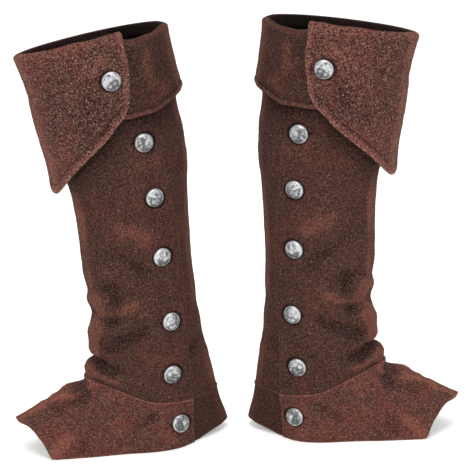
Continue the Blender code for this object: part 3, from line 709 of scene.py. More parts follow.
# how the flap's fold stands over the rim's line: forward, rise
flapRise = ((93, 5.2), (98, 5.0), (104, 3.4), (112, 2.4), (120, 0.9), (130, 0.3), (138, 0.9), (146, 1.8),
            (155, 2.2), (166, 2.6), (176, 2.9), (186, 2.4), (196, 2.4), (204, 2.8))
flare = ((0, 0.00076), (60, 0.0007), (100, 0.0011), (180, 0.0020))     # angle, offset over the drop squared
cuffFolds = (
    (0, 202, 428, 196, 410, 9, -0.9),
    (1, 72, 446, 68, 418, 8, 2.2),
    (1, 66, 398, 52, 410, 9, 2.0),
    (1, 132, 404, 146, 372, 12, -1.8),
    (1, 118, 440, 168, 428, 11, 1.2),
    (-1, 80, 440, 74, 412, 9, 2.2),
    (-1, 132, 398, 148, 360, 12, -2.0),
    (-1, 54, 428, 46, 408, 9, 1.6),
)
edgeLines["cuff_flap"] = (lambda height: -angleAt(cover["flapBack"] - cuff["seamOver"], height),
                          lambda height: angleAt(smoothTable(flapRear, height), height))
edgeLines["cuff_band"] = (lambda height: angleAt(cuff["bandEnd"], height),
                          lambda height: 360 - angleAt(cover["flapBack"], height))


def cuffOffsets(node, surface):
    # how far the turned-down suede stands inside and outside the leg's face
    forward, onOuter = surface[..., 0], surface[..., 1] > 0
    layer = cover["wall"] + cover["gap"]
    inside = np.full(forward.shape, -cover["wall"] - cuff["clear"])
    outside = np.full(forward.shape, cuff["clear"])
    if node == "cuff_band":
        return inside, np.where(onOuter, outside + layer * ramp(forward, *cuff["overPlacket"]), outside)
    overBand = 1 - ramp(forward, *cuff["overBand"])
    return (np.where(onOuter, inside - layer * overBand, inside),
            np.where(onOuter, outside + 2 * layer * overBand, outside))


def turnedDown(node, angle, height, top):
    # the cuff's inner face below the rim, standing off the leg
    surface = legPoint(angle, height)
    drop = top - height
    offset = cuffOffsets(node, surface)[1]
    if node == "cuff_flap":
        offset = offset + cuff["flapLift"] * drop
    offset = offset + smoothTable(flare, np.abs((angle + 180) % 360 - 180)) * drop * drop
    folded = foldHeight(cuffFolds, surface) * ramp(drop, 0, cuff["calm"])
    return surface + levelNormal(angle, height) * (offset + folded)[..., None]


def cuffSkin(node):
    flap = node == "cuff_flap"
    across = shares(cuff["columns"][node], cuff["closeRows"])
    angleOf = columnAngles(node, across)
    angle = angleOf(np.full(len(across), cover["rimGuess"]))
    top = rimHeight(angle)
    low = np.full(len(across), cuff["lowGuess"])
    for _ in range(rounds["cuffEdge"]):
        low = cuffEdge(node, turnedDown(node, angleOf(low), low, top))
    share = shares(cuff["rows"][node], cuff["closeRows"], both=False)
    height = low + (top - low) * share[:, None]
    down = turnedDown(node, angleOf(height), height, top)
    rimPoint = legPoint(angle, top)
    inside, outside = cuffOffsets(node, rimPoint)
    radius, middle = (outside - inside) / 2, (outside + inside) / 2
    normal = levelNormal(angle, top)
    rise = np.where(rimPoint[..., 1] > 0, smoothTable(flapRise, rimPoint[..., 0]), 0.0)
    rise = rise * ramp(angle, 0, cuff["riseTurn"]) * flap
    over = []
    for turn in np.linspace(0, math.pi, cuff["turnRows"] + 1)[1:]:
        ring = rimPoint + normal * (middle + radius * math.cos(turn))[..., None]
        ring[..., 2] = top + (radius + rise) * math.sin(turn)
        over.append(ring)
    inner = [legPoint(angle, at) + levelNormal(angle, at) * inside[..., None]
             for at in (top - cuff["inside"] * part for part in cuff["insideShares"])]
    points = np.concatenate([down, over, inner])
    outside = (np.arange(len(points)) < len(share))[:, None] * 1.0
    drop = np.maximum(top - points[..., 2], 0)
    calm = ramp(drop, 0, cuff["calm"]) * outside
    added = relief("cuff", points) * calm
    folded = foldHeight(cuffFolds, points) * calm
    points = points + faceNormals(points) * added[..., None]
    sides = ("bottom", "right") if flap else ("bottom",)
    free = borderDistance(points, *sides)
    seamIn = cuff["seamIn"][node]
    width, size = cuff["groove"]
    groove = bell(borderDistance(points, "bottom"), seamIn, width) * ramp(free, 0, seamIn) * outside
    at, swollen, out = cuff["bead"]
    lift = size * groove + out * bell(free / seamIn, at, swollen) * outside
    rolledIn = ramp(np.linspace(0, 1, len(over)), *cuff["turnHidden"])
    hidden = np.concatenate([np.zeros(len(share)), rolledIn, np.ones(len(inner))])[:, None]
    # rubbing and painted highlight on the rolled rim
    width, size = cuff["rimWearAndHighlight"]
    rolled = size * bell(drop, 0, width) * (1 - hidden)
    return makeSkin(node, points, lift, sides, folded + added + rolled, hidden, groove)


for node in ("cuff_flap", "cuff_band"):
    skins[node] = cuffSkin(node)
print("cuff skins:", skins["cuff_flap"]["outer"].shape, skins["cuff_band"]["outer"].shape)


# Shader maths written as plain sums, and nodes made the same way in any tree

class Wire:
    def __init__(self, finish, socket):
        self.finish, self.socket = finish, socket

    def maths(self, operation, first, second):
        return self.finish.node("ShaderNodeMath", {"operation": operation}, {0: first, 1: second})

    def __add__(self, other):
        return self.maths("ADD", self, other)

    def __sub__(self, other):
        return self.maths("SUBTRACT", self, other)

    def __mul__(self, other):
        return self.maths("MULTIPLY", self, other)

    def __rsub__(self, other):
        return self.maths("SUBTRACT", other, self)

    __radd__ = __add__
    __rmul__ = __mul__


class Nodes:
    # what materials and Geometry Nodes trees have in common
    def feed(self, sockets, values):
        # each value is a number, a colour, an object, a socket or a wire
        for key, value in values.items():
            value = getattr(value, "socket", value)
            if isinstance(value, bpy.types.NodeSocket):
                self.tree.links.new(value, sockets[key])
            else:
                sockets[key].default_value = value

    def made(self, kind, settings, inputs):
        node = self.tree.nodes.new(kind)
        for key, value in settings.items():
            setattr(node, key, value)
        self.feed(node.inputs, inputs)
        return node


class Finish(Nodes):
    def __init__(self, name):
        self.material = bpy.data.materials.new(name)
        self.material.use_nodes = True
        self.tree = self.material.node_tree

    def node(self, kind, settings, inputs, output=0):
        return Wire(self, self.made(kind, settings, inputs).outputs[output])

    def surface(self, values):
        self.feed(self.tree.nodes["Principled BSDF"].inputs, values)
        return self.material

    def place(self):
        return self.node("ShaderNodeTexCoord", {}, {}, "Object")

    def noise(self, place, scale, detail=3.0, roughness=0.55, distortion=0.0):
        return self.node("ShaderNodeTexNoise", {}, {"Vector": place, "Scale": scale, "Detail": detail,
                                                    "Roughness": roughness, "Distortion": distortion})

    def attributes(self, *names):
        return [self.node("ShaderNodeAttribute", {"attribute_name": name}, {}, "Fac") for name in names]

    def between(self, value, low, high):
        # 0 below low, 1 above high
        return self.node("ShaderNodeMapRange", {"interpolation_type": "SMOOTHSTEP"},
                         {"Value": value, "From Min": low, "From Max": high})

    def mixed(self, share, first, second):
        return self.node("ShaderNodeMix", {"data_type": "RGBA"}, {0: share, 6: first, 7: second}, 2)

    def bump(self, height, strength, distance):
        return self.node("ShaderNodeBump", {}, {"Strength": strength, "Distance": distance, "Height": height})


suede = {
    "dark": (0.0120, 0.0042, 0.0032),
    "olive": (0.0620, 0.0265, 0.0195),
    "red": (0.0980, 0.0290, 0.0215),
    "pale": (0.1900, 0.1150, 0.1000),     # standing fibres that catch the light
    "raised": (0.2300, 0.0780, 0.0500),   # rubbed ridges, partly a painted highlight
    "cut": (0.2400, 0.0850, 0.0680),      # cut edges
    "speck": (0.5000, 0.3300, 0.2700),
    "black": (0.0045, 0.0032, 0.0030),
    "blotch": 24.0,           # scales are per metre
    "mottle": 150.0,
    "grain": 470.0,
    "fineGrain": 860.0,
    "roughness": 0.92,
    "shine": 0.08,
    "sheen": 0.05,
    "sheenRoughness": 0.35,
    "sheenTint": (0.80, 0.24, 0.17, 1.0),
    "bump": (0.9, 0.0009),    # strength, distance
}


def suedeFinish(name, gain, redness, rubbing, grit):
    finish = Finish(name)
    between, place = finish.between, finish.place()
    blotch = finish.noise(place, suede["blotch"], 4.0, 0.6, 0.6)
    mottle = finish.noise(place, suede["mottle"], 4.0, 0.62)
    grain = finish.noise(place, suede["grain"], 2.0, 0.65)
    fine = finish.noise(place, suede["fineGrain"], 2.0, 0.6)
    flecks = finish.noise(place, suede["grain"] * 1.3, 1.0, 0.5)
    wear, edge, inside, groove, soil, shade = finish.attributes(
        "wear", "edge", "inside", "groove", "soil", "shade")
    tone = blotch * 0.55 + mottle * 0.45
    nap = grain * 0.45 + fine * 0.55
    # layers from the hide's own dye up, painted shade and highlight among them: how much of each, and its
    # colour
    layers = (
        (between(tone, 0.64 - redness * 0.3, 0.76 - redness * 0.3), "red"),
        # rubbed ridges, partly a painted highlight
        (between(wear + nap * 0.4 - 0.2, 0.54, 0.80) * 0.50 * rubbing, "raised"),
        # painted shade in the troughs and creases
        (between(wear + nap * 0.3 - 0.15, 0.46, 0.14) * 0.62, "dark"),
        (between(edge + mottle * 0.3 + grain * 0.8 - 0.55, 0.10, 0.70) * 0.50 * rubbing, "cut"),
        # painted shadow under the cuff
        (shade * 0.94, "black"),
        (between(nap, 0.52, 0.40) * min(0.50 * grit, 0.9), "dark"),
        # fewer pale flecks in the painted shadow under the cuff
        (between(nap, 0.50, 0.62) * min(0.36 * grit, 0.8) * (1 - 0.7 * shade), "pale"),
        (between(flecks + between(edge, 0.55, 0.95) * 0.09, 0.67, 0.74) * min(0.3 * grit, 0.6), "speck"),
        # painted shade in the topstitching's groove
        (between(groove + mottle * 0.5 - 0.25, 0.35, 0.80) * 0.62, "black"),
        # painted shade round the buttons and along the shaft's lower seam
        (between(soil + nap * 0.5 - 0.25, 0.1, 0.9) * 0.80, "black"),
        # painted shade on the cover's inside and the turned-in rim
        (inside * 0.90, "black"),
    )

    def colour(key):
        return tuple(min(value * gain, 1.0) for value in suede[key]) + (1.0,)

    base = colour("olive")
    for share, key in layers:
        base = finish.mixed(share, base, colour(key))
    return finish.surface({
        "Base Color": base, "Roughness": suede["roughness"], "Specular IOR Level": suede["shine"],
        "Sheen Weight": suede["sheen"], "Sheen Roughness": suede["sheenRoughness"],
        "Sheen Tint": suede["sheenTint"], "Normal": finish.bump(nap + mottle * 0.7, *suede["bump"])})


# brightness is partly painted light: the heel band and the back band are darker copies for the shade they
# stand in, the foot and the flap lighter ones for the light they face
finishes = {                  # brightness, redness, rubbing, grain
    "shaft_front": suedeFinish("suedeShaft", 0.79, 0.45, 1.0, 1.15),
    "shaft_back": suedeFinish("suedeShaftBack", 0.77, 0.45, 1.0, 1.15),
    "vamp": suedeFinish("suedeFoot", 1.06, 0.72, 1.0, 1.2),
    "heel_band": suedeFinish("suedeHeel", 0.66, 0.36, 0.7, 1.0),
    "cuff_flap": suedeFinish("suedeFlap", 0.97, 0.72, 1.0, 2.0),
    "cuff_band": suedeFinish("suedeBand", 0.62, 0.42, 0.9, 1.25),
}
pieces = {node: linked(leftName(node), skinMesh(node, skin), finishes[node]) for node, skin in skins.items()}
print("suede pieces:", sum(len(piece.data.polygons) for piece in pieces.values()), "faces")


# Buttons: hammered silver domes on short shanks

button = {
    "radius": 10.2,
    "rise": 5.0,
    "power": 0.8,             # below 1 the dome is fuller than an ellipse
    "domeRings": 22,
    "rimRound": 0.7,
    "shank": 1.4,
    "seat": 0.6,
    "sides": 72,
    "domeEnd": 84,            # where the rim begins, in degrees from the top
    "domeFoot": 0.9,          # the dome is hammered above this height
    "rimAngles": (100, 130, 160),
    "marks": 30,              # hammer marks on each dome
    "markReach": (0.93, 0.94),            # shares of the radius that they are placed within and lean up to
    "markScatter": 0.45,
    "markLevels": (-0.05, 0.12),          # each lies between these over the dome
    "markLift": 0.12,         # they cut the dome this much higher
    "ridge": 0.18,            # two marks this close in height make a ridge
    "lowerSide": (-0.3, 1.0),             # painted shade grows from here to here down the dome
    "polished": (0.84, 0.95), # and goes between these shares of the radius, on the rim
    "tarnish": (0.75, 0.45, 0.8),         # tarnish by mark, painted shade on the lower side, and how much less of both on the rim
    "patina": (0.52, 0.92),
    "metallic": 0.85,
    "roughness": (0.46, 0.15),            # of bright silver, and how much more of tarnished
    "bump": (0.35, 0.0003),   # strength, distance
    "markTurn": 2.39996,      # from mark to mark round the dome, in radians, which spreads them evenly
    "tilt": 0.055,            # how far a mark leans off the dome
    "sharpness": 9.0,         # of the ridges between marks, per millimetre
    "clouds": 430.0,          # of tarnish, per metre
    "pits": 1100.0,
    "bright": (0.52, 0.525, 0.54, 1.0),
    "tarnished": (0.110, 0.112, 0.118, 1.0),
}


def silverFinish():
    finish = Finish("antiqueSilver")
    place = finish.place()
    clouds = finish.noise(place, button["clouds"], 3.0, 0.65, 0.3)
    pits = finish.noise(place, button["pits"], 2.0, 0.6)
    hollow, tarnish = finish.attributes("hollow", "tarnish")
    # patina, with painted shade on each dome's lower side
    patina = finish.between(clouds * 0.55 + pits * 0.25 + tarnish * 0.5 + hollow * 0.25, *button["patina"])
    smooth, rougher = button["roughness"]
    return finish.surface({
        "Base Color": finish.mixed(patina, button["bright"], button["tarnished"]),
        "Metallic": button["metallic"], "Roughness": patina * rougher + smooth,
        "Normal": finish.bump(clouds + pits * 0.5, *button["bump"])})


def hammered(points, seed):
    # flat marks: tangent planes of the dome, each leaning a little, meet in soft ridges
    dice = np.random.default_rng(seed)
    count, radius, rise, power, sharpness = [
        button[key] for key in ("marks", "radius", "rise", "power", "sharpness")]
    within, leanWithin = button["markReach"]
    turns = np.arange(count) * button["markTurn"] + dice.uniform(0, 6.28)
    reach = radius * within * np.sqrt((np.arange(count) + 0.5) / count)
    centres = stack(reach * np.cos(turns), reach * np.sin(turns))
    centres = centres + dice.normal(0, button["markScatter"], (count, 2))
    far = np.minimum(np.hypot(centres[:, 0], centres[:, 1]), radius * leanWithin)
    flatness = 1 - (far / radius) ** 2
    slope = -rise * power * far / radius ** 2 * flatness ** (power / 2 - 1)
    lean = centres / np.maximum(far, 0.01)[:, None] * slope[:, None]
    lean = lean + dice.normal(0, button["tilt"], (count, 2))
    level = rise * flatness ** (power / 2) + dice.uniform(*button["markLevels"], count)
    heights = level + ((points[:, None, :2] - centres) * lean).sum(-1)
    order = np.sort(heights, axis=1)
    low = order[:, 0]
    soft = low - np.log(np.exp(-(heights - low[:, None]) * sharpness).sum(1)) / sharpness
    tones = dice.uniform(0, 1, count)[np.argmin(heights, axis=1)]
    return soft, np.clip(1 - (order[:, 1] - low) / button["ridge"], 0, 1), tones


def lathed(profile, sides, closed=True):
    # rings round an upright axis, from a pole at the first point, and to one at the last if it is closed
    rings = profile[1:-1] if closed else profile[1:]
    verts = [(0.0, 0.0, profile[0][1])]
    for reach, height in rings:
        verts += [(reach * math.cos(a), reach * math.sin(a), height)
                  for a in np.linspace(0, math.tau, sides, endpoint=False)]
    pairs = [(k, (k + 1) % sides) for k in range(sides)]
    faces = [(0, 1 + k, 1 + after) for k, after in pairs]
    last = 1 + (len(rings) - 1) * sides
    for first in range(1, last, sides):
        faces += [(first + k, first + sides + k, first + sides + after, first + after) for k, after in pairs]
    if closed:
        faces += [(last + k, len(verts), last + after) for k, after in pairs]
        verts.append((0.0, 0.0, profile[-1][1]))
    return verts, faces


def buttonMesh(name, seed, low):
    # dome rings from the top down, the round rim, the flat back and the shank, in millimetres
    radius, shank, roundOff = button["radius"], button["shank"], button["rimRound"] / 2
    profile = [(radius * math.sin(a), button["rise"] * math.cos(a) ** button["power"])
               for a in np.radians(np.linspace(0, button["domeEnd"], button["domeRings"]))]
    profile += [(radius - roundOff * (1 - math.sin(a)), roundOff * math.cos(a))
                for a in np.radians(button["rimAngles"])]
    foot = -cover["wall"] - button["seat"]
    profile += [(radius * 0.9, 0.0), (shank * 1.6, 0.0), (shank, -0.3), (shank, foot), (0.0, foot)]
    verts, faces = lathed(profile, button["sides"])
    points = np.array(verts)
    soft, ridges, tones = hammered(points, seed)
    onDome = points[:, 2] > button["domeFoot"]
    points[:, 2] = np.where(onDome, np.minimum(points[:, 2], soft + button["markLift"]), points[:, 2])
    # painted shade on the dome's lower side
    lower = ramp(points[:, 0] * low[0] + points[:, 1] * low[1], *button["lowerSide"])
    rim = ramp(np.hypot(points[:, 0], points[:, 1]), *(radius * share for share in button["polished"]))
    byMark, below, less = button["tarnish"]
    return newMesh(name, (points / 1000).tolist(), faces, values={
        "hollow": ridges * onDome, "tarnish": (tones * byMark + lower * below) * (1 - less * rim) * onDome})


def seatAt(node, forward, height):
    # a matrix at a place seen from the outer side, Z along the skin's normal and X along the slit, forward
    outer = skins[node]["outer"]
    far = np.hypot(outer[..., 0] - forward, outer[..., 2] - height) + np.where(outer[..., 1] > 0, 0, 500)
    at = np.unravel_index(np.argmin(far), far.shape)
    point, normal = outer[at], skins[node]["normals"][at]
    seat = Vector(toWorld(point + normal * button["seat"]))
    up = (Vector(toWorld(point + normal * (button["seat"] + 10))) - seat).normalized()
    ahead = Vector(toWorld(point + np.array([10.0, 0, 0]))) - Vector(toWorld(point))
    ahead = (ahead - up * ahead.dot(up)).normalized()
    return Matrix.Translation(seat) @ Matrix((ahead, up.cross(ahead), up)).transposed().to_4x4()


silver = silverFinish()
buttons = {}
for k, (node, forward, height, _) in enumerate(seats, start=1):
    place = seatAt(node, forward, height)
    down = place.to_3x3().inverted() @ Vector((0, 0, -1.0))
    mesh = buttonMesh("leftButton%d" % k, 100 + k, down.xy / button["radius"])
    mesh.transform(place)
    buttons["button_%d" % k] = linked("leftButton%d" % k, mesh, silver)
print("buttons:", len(buttons))


# Buttonholes: a slit through the upper layer, from each shank forward

slit = {
    "width": 1.9,
    "shankHole": 1.7,         # half width where the shank goes through
    "depth": 7.0,
    "corners": 9,
}


def slitOutline(length):
    # a round hole at the shank that runs out to a point ahead
    hole, half = slit["shankHole"], slit["width"] / 2
    turns = np.radians(np.linspace(30, 330, slit["corners"]))
    return [(hole * math.cos(turn), hole * math.sin(turn)) for turn in turns] + [
        (length * 0.6, -half), (length - 1.0, -half * 0.7), (length, 0.0),
        (length - 1.0, half * 0.7), (length * 0.6, half)]


def cutSlits(piece, places):
    # one prism for each buttonhole, joined into one cutter
    verts, faces = [], []
    for place, length in places:
        outline = slitOutline(length)
        count, first = len(outline), len(verts)
        for level in (-slit["depth"] / 2, slit["depth"] / 2):
            up = (level - button["seat"] - 1) / 1000
            verts += [place @ Vector((x / 1000, y / 1000, up)) for x, y in outline]
        low = [first + k for k in range(count)]
        faces += [low[::-1], [k + count for k in low]]
        faces += [[a, b, b + count, a + count] for a, b in zip(low, low[1:] + low[:1])]
    cutter = linked("slits", newMesh("slits", verts, faces, smooth=False))
    cut = piece.modifiers.new("Slits", "BOOLEAN")
    cut.operation, cut.solver, cut.object = "DIFFERENCE", "MANIFOLD", cutter
    whole = piece.data
    piece.data = evaluatedMesh(piece)
    bpy.data.meshes.remove(whole)
    bpy.data.objects.remove(cutter)


def evaluatedMesh(piece):
    # what the modifiers make, as a plain mesh; then they go
    bpy.context.view_layer.update()
    made = bpy.data.meshes.new_from_object(piece.evaluated_get(bpy.context.evaluated_depsgraph_get()))
    made.name = piece.name
    piece.modifiers.clear()
    return made


for node in ("cuff_flap", "shaft_front", "vamp"):
    cutSlits(pieces[node], [(seatAt(*seat), length) for *seat, length in seats if seat[0] == node])
    print("slits cut in", node + ":", len(pieces[node].data.polygons), "faces")


# Stitches and loose fibres follow curves on the suede

thread = {
    "pitch": 3.1,
    "size": (2.3, 0.55, 0.42),            # one stitch: along, across, high
    "rings": (1, 0.72, 0, -0.72, -1),     # from end to end
    "sides": 6,
    "sink": 0.05,
    "lean": 0.06,
    "unevenness": 0.12,
}
fuzz = {
    "pitch": 0.25,            # along a cut edge
    "length": 0.8,
    "width": 0.11,
    "lean": 0.9,
    "drift": 0.75,            # the suede's cut face is this much wider than a line
    "unevenness": 0.45,
    "faceDepth": 1.6,         # how far in from a cut edge its middle is looked for
    "napLength": 0.9,
    "napCount": 48000.0,      # loose fibres on a square metre
    "napLean": 1.15,
    "outer": 0.3,             # they grow where the skin's inside value is below this
    "mottle": 420.0,          # of their colour, per metre
    "tones": (0.50, 0.68),
    "dark": 0.22,             # the darker fibres, as a share of the colour
    "roughness": 0.9,
    "shine": 0.2,
    "floor": 0.0004,          # metres; what would pass through the floor lies on it
}


def lineOn(skin, side, inset, lift=0.0):
    # points that keep a distance from one side of a skin, with the way out of the suede there
    grids = [borderDistance(skin["outer"], side), skin["outer"], skin["normals"]]
    if side in ("bottom", "top"):
        grids = [np.swapaxes(grid, 0, 1) for grid in grids]
    if side in ("right", "top"):
        grids = [grid[:, ::-1] for grid in grids]
    points, outs = [], []
    for away, *lane in zip(*grids):
        at, out = [np.array([np.interp(inset, away, rows[:, axis]) for axis in range(3)]) for rows in lane]
        points.append(at + out * lift)
        outs.append(out)
    return np.array(points), np.array(outs)


def edgeLine(skin, side):
    # the cut edge itself, with the way out of the edge
    points = lineOn(skin, side, 0.0)[0]
    inner = lineOn(skin, side, fuzz["faceDepth"])[0]
    twin = lineOn({**skin, "outer": skin["inner"]}, side, fuzz["faceDepth"])[0]
    return points, unit(points - (inner + twin) / 2)


def guideObject(lines):
    # polylines with the way out as a vector on each point
    verts, edges, outs = [], [], []
    for points, out in lines:
        edges += [(len(verts) + k, len(verts) + k + 1) for k in range(len(points) - 1)]
        verts += toWorld(points).tolist()
        outs.append(toWorld(points + out) - toWorld(points))
    mesh = newMesh("guide", verts, [], edges, smooth=False)
    layer = mesh.attributes.new("out", "FLOAT_VECTOR", "POINT")
    layer.data.foreach_set("vector", unit(np.concatenate(outs)).astype(np.float32).reshape(-1))
    return linked("guide", mesh)


def stitchElement():
    # a rounded stitch, made standing and then laid along X
    along, across, high = [value / 2000 for value in thread["size"]]
    verts, faces = lathed([(math.sqrt(1 - t * t), t) for t in thread["rings"]], thread["sides"])
    verts = [(z * along, x * across, y * high) for x, y, z in verts]
    return linked("stitch", newMesh("stitch", verts, faces))


def fibreElement(length):
    # a thin three-sided blade with a bend in it
    width = fuzz["width"] / 2000
    verts = [(bend + width * size * math.cos(a), width * size * math.sin(a), height)
             for bend, size, height in ((0, 1, -0.0001), (0.0001, 0.7, length / 2000)) for a in (0, 2.1, 4.2)]
    verts.append((0.0003, 0, length / 1000))
    faces = [(k, (k + 1) % 3, 3 + (k + 1) % 3, 3 + k) for k in range(3)]
    faces += [(3 + k, 3 + (k + 1) % 3, 6) for k in range(3)] + [(2, 1, 0)]
    return linked("fibre", newMesh("fibre", verts, faces))


class Tree(Nodes):
    # a Geometry Nodes tree, with named inputs
    def __init__(self, name, labels):
        self.tree = bpy.data.node_groups.new(name, "GeometryNodeTree")
        kinds = {"Geometry": "Geometry", "Element": "Object", "Seed": "Int", "Finish": "Material"}
        for label in ("Geometry", *labels):
            kind = "NodeSocket" + kinds.get(label, "Float")
            self.tree.interface.new_socket(name=label, in_out="INPUT", socket_type=kind)
        self.tree.interface.new_socket(name="Geometry", in_out="OUTPUT", socket_type="NodeSocketGeometry")
        self.entry = self.tree.nodes.new("NodeGroupInput").outputs

    def node(self, kind, settings=None, inputs=None, output=0):
        return self.made(kind, settings or {}, inputs or {}).outputs[output]

    def random(self, kind, low, high, first):
        # values between low and high, whose sockets are numbered from first
        return self.node("FunctionNodeRandomValue", {"data_type": kind},
                         {first: low, first + 1: high, "Seed": self.entry["Seed"]}, first // 2)

    def vague(self, label):
        # a random way, as far as one of the inputs says
        way = self.random("FLOAT_VECTOR", (-1, -1, -1), (1, 1, 1), 0)
        return self.node("ShaderNodeVectorMath", {"operation": "SCALE"}, {0: way, "Scale": self.entry[label]})

    def named(self, kind, name):
        return self.node("GeometryNodeInputNamedAttribute", {"data_type": kind}, {"Name": name})

    def spread(self, points, turn):
        # instances on points, with uneven size and lean, then realized
        leaning = self.node("FunctionNodeEulerToRotation", {}, {0: self.vague("Lean")})
        turned = self.node("FunctionNodeRotateRotation", {"rotation_space": "LOCAL"}, {0: turn, 1: leaning})
        size = self.node("ShaderNodeMath", {"operation": "MULTIPLY_ADD"}, {
            0: self.random("FLOAT", -1.0, 1.0, 2), 1: self.entry["Unevenness"], 2: 1.0})
        element = self.node("GeometryNodeObjectInfo", {}, {"Object": self.entry["Element"]}, "Geometry")
        placed = self.node("GeometryNodeInstanceOnPoints", {},
                           {"Points": points, "Instance": element, "Rotation": turned, "Scale": size})
        real = self.node("GeometryNodeRealizeInstances", {}, {0: placed})
        made = self.node("GeometryNodeSetMaterial", {}, {"Geometry": real, "Material": self.entry["Finish"]})
        self.made("NodeGroupOutput", {}, {0: made})
        return self.tree


def alongTree():
    tree = Tree("alongEdge", ("Element", "Pitch", "Lean", "Drift", "Unevenness", "Seed", "Finish"))
    curve = tree.node("GeometryNodeMeshToCurve", {}, {0: tree.entry["Geometry"]})
    points = tree.node("GeometryNodeResampleCurve", {"mode": "LENGTH"},
                       {"Curve": curve, "Length": tree.entry["Pitch"]})
    turn = tree.node("FunctionNodeAxesToRotation", {"primary_axis": "Z", "secondary_axis": "X"},
                     {0: tree.named("FLOAT_VECTOR", "out"), 1: tree.node("GeometryNodeInputTangent")})
    kept = tree.node("GeometryNodeStoreNamedAttribute", {"data_type": "QUATERNION", "domain": "POINT"},
                     {"Geometry": points, "Name": "turn", "Value": turn})
    moved = tree.node("GeometryNodeSetPosition", {}, {"Geometry": kept, "Offset": tree.vague("Drift")})
    return tree.spread(moved, tree.named("QUATERNION", "turn"))


def napTree():
    tree = Tree("napOnFaces", ("Element", "Density", "Lean", "Unevenness", "Seed", "Finish"))
    outer = tree.node("FunctionNodeCompare", {"data_type": "FLOAT", "operation": "LESS_THAN"},
                      {0: tree.named("FLOAT", "inside"), 1: fuzz["outer"]})
    spread = tree.made("GeometryNodeDistributePointsOnFaces", {}, {
        "Mesh": tree.entry["Geometry"], "Selection": outer, "Density": tree.entry["Density"],
        "Seed": tree.entry["Seed"]})
    return tree.spread(spread.outputs["Points"], spread.outputs["Rotation"])


def grow(label, tree, base, values):
    # the tree's result as a plain mesh of its own
    holder = linked("left" + label, base.data)
    modifier = holder.modifiers.new("Grown", "NODES")
    modifier.node_group = tree
    sockets = {item.name: item.identifier for item in tree.interface.items_tree if item.in_out == "INPUT"}
    for name, value in values.items():
        modifier[sockets[name]] = value
    made = evaluatedMesh(holder)
    places = np.zeros(3 * len(made.vertices), np.float32)
    made.vertices.foreach_get("co", places)
    places[2::3] = np.maximum(places[2::3], fuzz["floor"])
    made.vertices.foreach_set("co", places)
    holder.data = made
    extras[label] = holder


def growAlong(label, lines, values):
    guide = guideObject(lines)
    grow(label, along, guide, values)
    bpy.data.objects.remove(guide)


def fibreFinish(name, colour):
    finish = Finish(name)
    dark = tuple(value * fuzz["dark"] for value in colour)
    tone = finish.between(finish.noise(finish.place(), fuzz["mottle"], 2.0), *fuzz["tones"])
    return finish.surface({"Base Color": finish.mixed(tone, (*dark, 1.0), (*colour, 1.0)),
                           "Roughness": fuzz["roughness"], "Specular IOR Level": fuzz["shine"]})


edgeFibres = fibreFinish("edgeFibres", (0.360, 0.170, 0.130))
napFibres = fibreFinish("napFibres", (0.170, 0.085, 0.070))
threadFinish = fibreFinish("thread", (0.030, 0.014, 0.011))
along, nap = alongTree(), napTree()
stitch = stitchElement()
edgeBlade, napBlade = fibreElement(fuzz["length"]), fibreElement(fuzz["napLength"])
extras = {}
for k, (label, node) in enumerate((("FlapStitches", "cuff_flap"), ("BandStitches", "cuff_band"))):
    growAlong(label, [lineOn(skins[node], "bottom", cuff["seamIn"][node], -thread["sink"])], {
        "Element": stitch, "Pitch": thread["pitch"] / 1000, "Lean": thread["lean"], "Drift": 0.0,
        "Unevenness": thread["unevenness"], "Seed": 11 + k, "Finish": threadFinish})
cutEdges = {
    "FlapFuzz": (("cuff_flap", "bottom"), ("cuff_flap", "right")),
    "BandFuzz": (("cuff_band", "bottom"),),
    "PlacketFuzz": (("shaft_front", "right"),),
    "FootFuzz": (("vamp", "right"),),
}
for k, (label, edges) in enumerate(cutEdges.items()):
    growAlong(label, [edgeLine(skins[node], side) for node, side in edges], {
        "Element": edgeBlade, "Pitch": fuzz["pitch"] / 1000, "Lean": fuzz["lean"],
        "Drift": fuzz["drift"] / 1000, "Unevenness": fuzz["unevenness"], "Seed": 31 + k,
        "Finish": edgeFibres})
for k, (node, piece) in enumerate(pieces.items()):
    grow(leftName(node, "Nap")[4:], nap, piece, {
        "Element": napBlade, "Density": fuzz["napCount"], "Lean": fuzz["napLean"],
        "Unevenness": fuzz["unevenness"], "Seed": 51 + k, "Finish": napFibres})
for element in (stitch, edgeBlade, napBlade):
    bpy.data.objects.remove(element)
print("stitches and fibres:", {label: len(extra.data.polygons) for label, extra in extras.items()})


# The right cover, and what rides and stands for what

sheets = {                    # cut before sewing, in metres: width, length, area in square metres
    "shaft_front": (0.30, 0.42, 0.092),
    "shaft_back": (0.21, 0.42, 0.067),
    "vamp": (0.33, 0.14, 0.027),
    "heel_band": (0.20, 0.07, 0.0095),
    "cuff_flap": (0.30, 0.20, 0.037),
    "cuff_band": (0.26, 0.11, 0.021),
}
everything = {**pieces, **buttons, **extras}
right = {node: mirrored(piece, piece.name.replace("left", "right")) for node, piece in everything.items()}
for label, made in (("left", everything), ("right", right)):
    for node, piece in made.items():
        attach(piece, "root")
        if node not in extras:
            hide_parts("%s_%s" % (label, node))
        node in sheets


# Stage, lights and camera

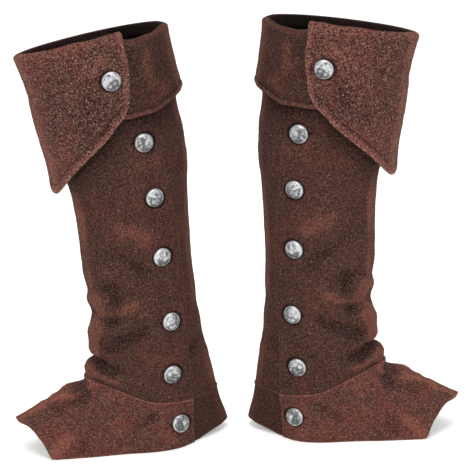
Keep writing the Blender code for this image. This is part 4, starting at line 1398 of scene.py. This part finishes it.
studio = {
    "floor": (0.90, 0.90, 0.89, 1.0),
    "floorReach": 2.6,        # radius of the level floor; the wall stands a metre further out
    "wall": 4.0,
    "sides": 64,
    "glow": 0.20,             # the floor is a lit table, which softens the shadows on it
    "light": (1.0, 1.0, 1.0, 1.0),
    "air": 0.15,              # strength of the light from all round
    "cameraPlace": (0.0066, -1.3171, 0.584),
    "pitch": 14.68,           # degrees down
    "roll": 3.24,             # the photo's own tilt
    "focal": 1225.0,          # in the photo's pixels
    "photoWidth": 466.0,
    "sensor": 36.0,
}
lamps = {                     # place, target, size, power
    "keyLeft": ((-0.8, -1.9, 1.5), (-0.1, 0, 0.25), 0.7, 9),
    "keyRight": ((0.8, -1.9, 1.5), (0.1, 0, 0.25), 0.7, 9),
    "topFront": ((0.0, -0.9, 2.3), (0, 0, 0.2), 0.7, 16),
    "sideLeft": ((-1.7, 0.8, 0.7), (0, 0.1, 0), 0.9, 6.5),
    "sideRight": ((1.7, 0.8, 0.7), (0, 0.1, 0), 0.9, 6.5),
    "backdrop": ((0.0, 0.0, 3.4), (0, 0.6, 0.0), 2.6, 51),
}


def addStage():
    # a round floor that rises into a wall all round
    reach = studio["floorReach"]
    line = [(0.0, 0.0)] + [(reach + math.sin(a), 1 - math.cos(a)) for a in np.radians(np.arange(0, 91, 15))]
    verts, faces = lathed(line + [(reach + 1, studio["wall"])], studio["sides"], closed=False)
    finish = Finish("paleStage").surface({
        "Base Color": studio["floor"], "Roughness": 0.9, "Emission Color": studio["light"],
        "Emission Strength": studio["glow"]})
    linked("stageFloor", newMesh("stageFloor", verts, faces), finish)


addStage()
for name, (place, target, size, power) in lamps.items():
    data = bpy.data.lights.new(name, "AREA")
    data.shape, data.size, data.energy = "SQUARE", size, power
    lamp = linked(name, data)
    lamp.location = place
    lamp.rotation_euler = (Vector(target) - Vector(place)).to_track_quat("-Z", "Y").to_euler()
world = bpy.data.worlds.new("studio")
world.use_nodes = True
air = world.node_tree.nodes["Background"].inputs
air["Color"].default_value, air["Strength"].default_value = studio["light"], studio["air"]
bpy.context.scene.world = world
bpy.context.scene.view_settings.view_transform = "Standard"

cameraData = bpy.data.cameras.new("camera")
cameraData.sensor_width = studio["sensor"]
cameraData.lens = studio["focal"] * studio["sensor"] / studio["photoWidth"]
camera = linked("camera", cameraData)
look = Matrix.Rotation(math.radians(90 - studio["pitch"]), 4, "X")
lean = Matrix.Rotation(math.radians(-studio["roll"]), 4, "Z")
camera.matrix_world = Matrix.Translation(studio["cameraPlace"]) @ look @ lean
bpy.context.scene.camera = camera
print("stage and camera set")
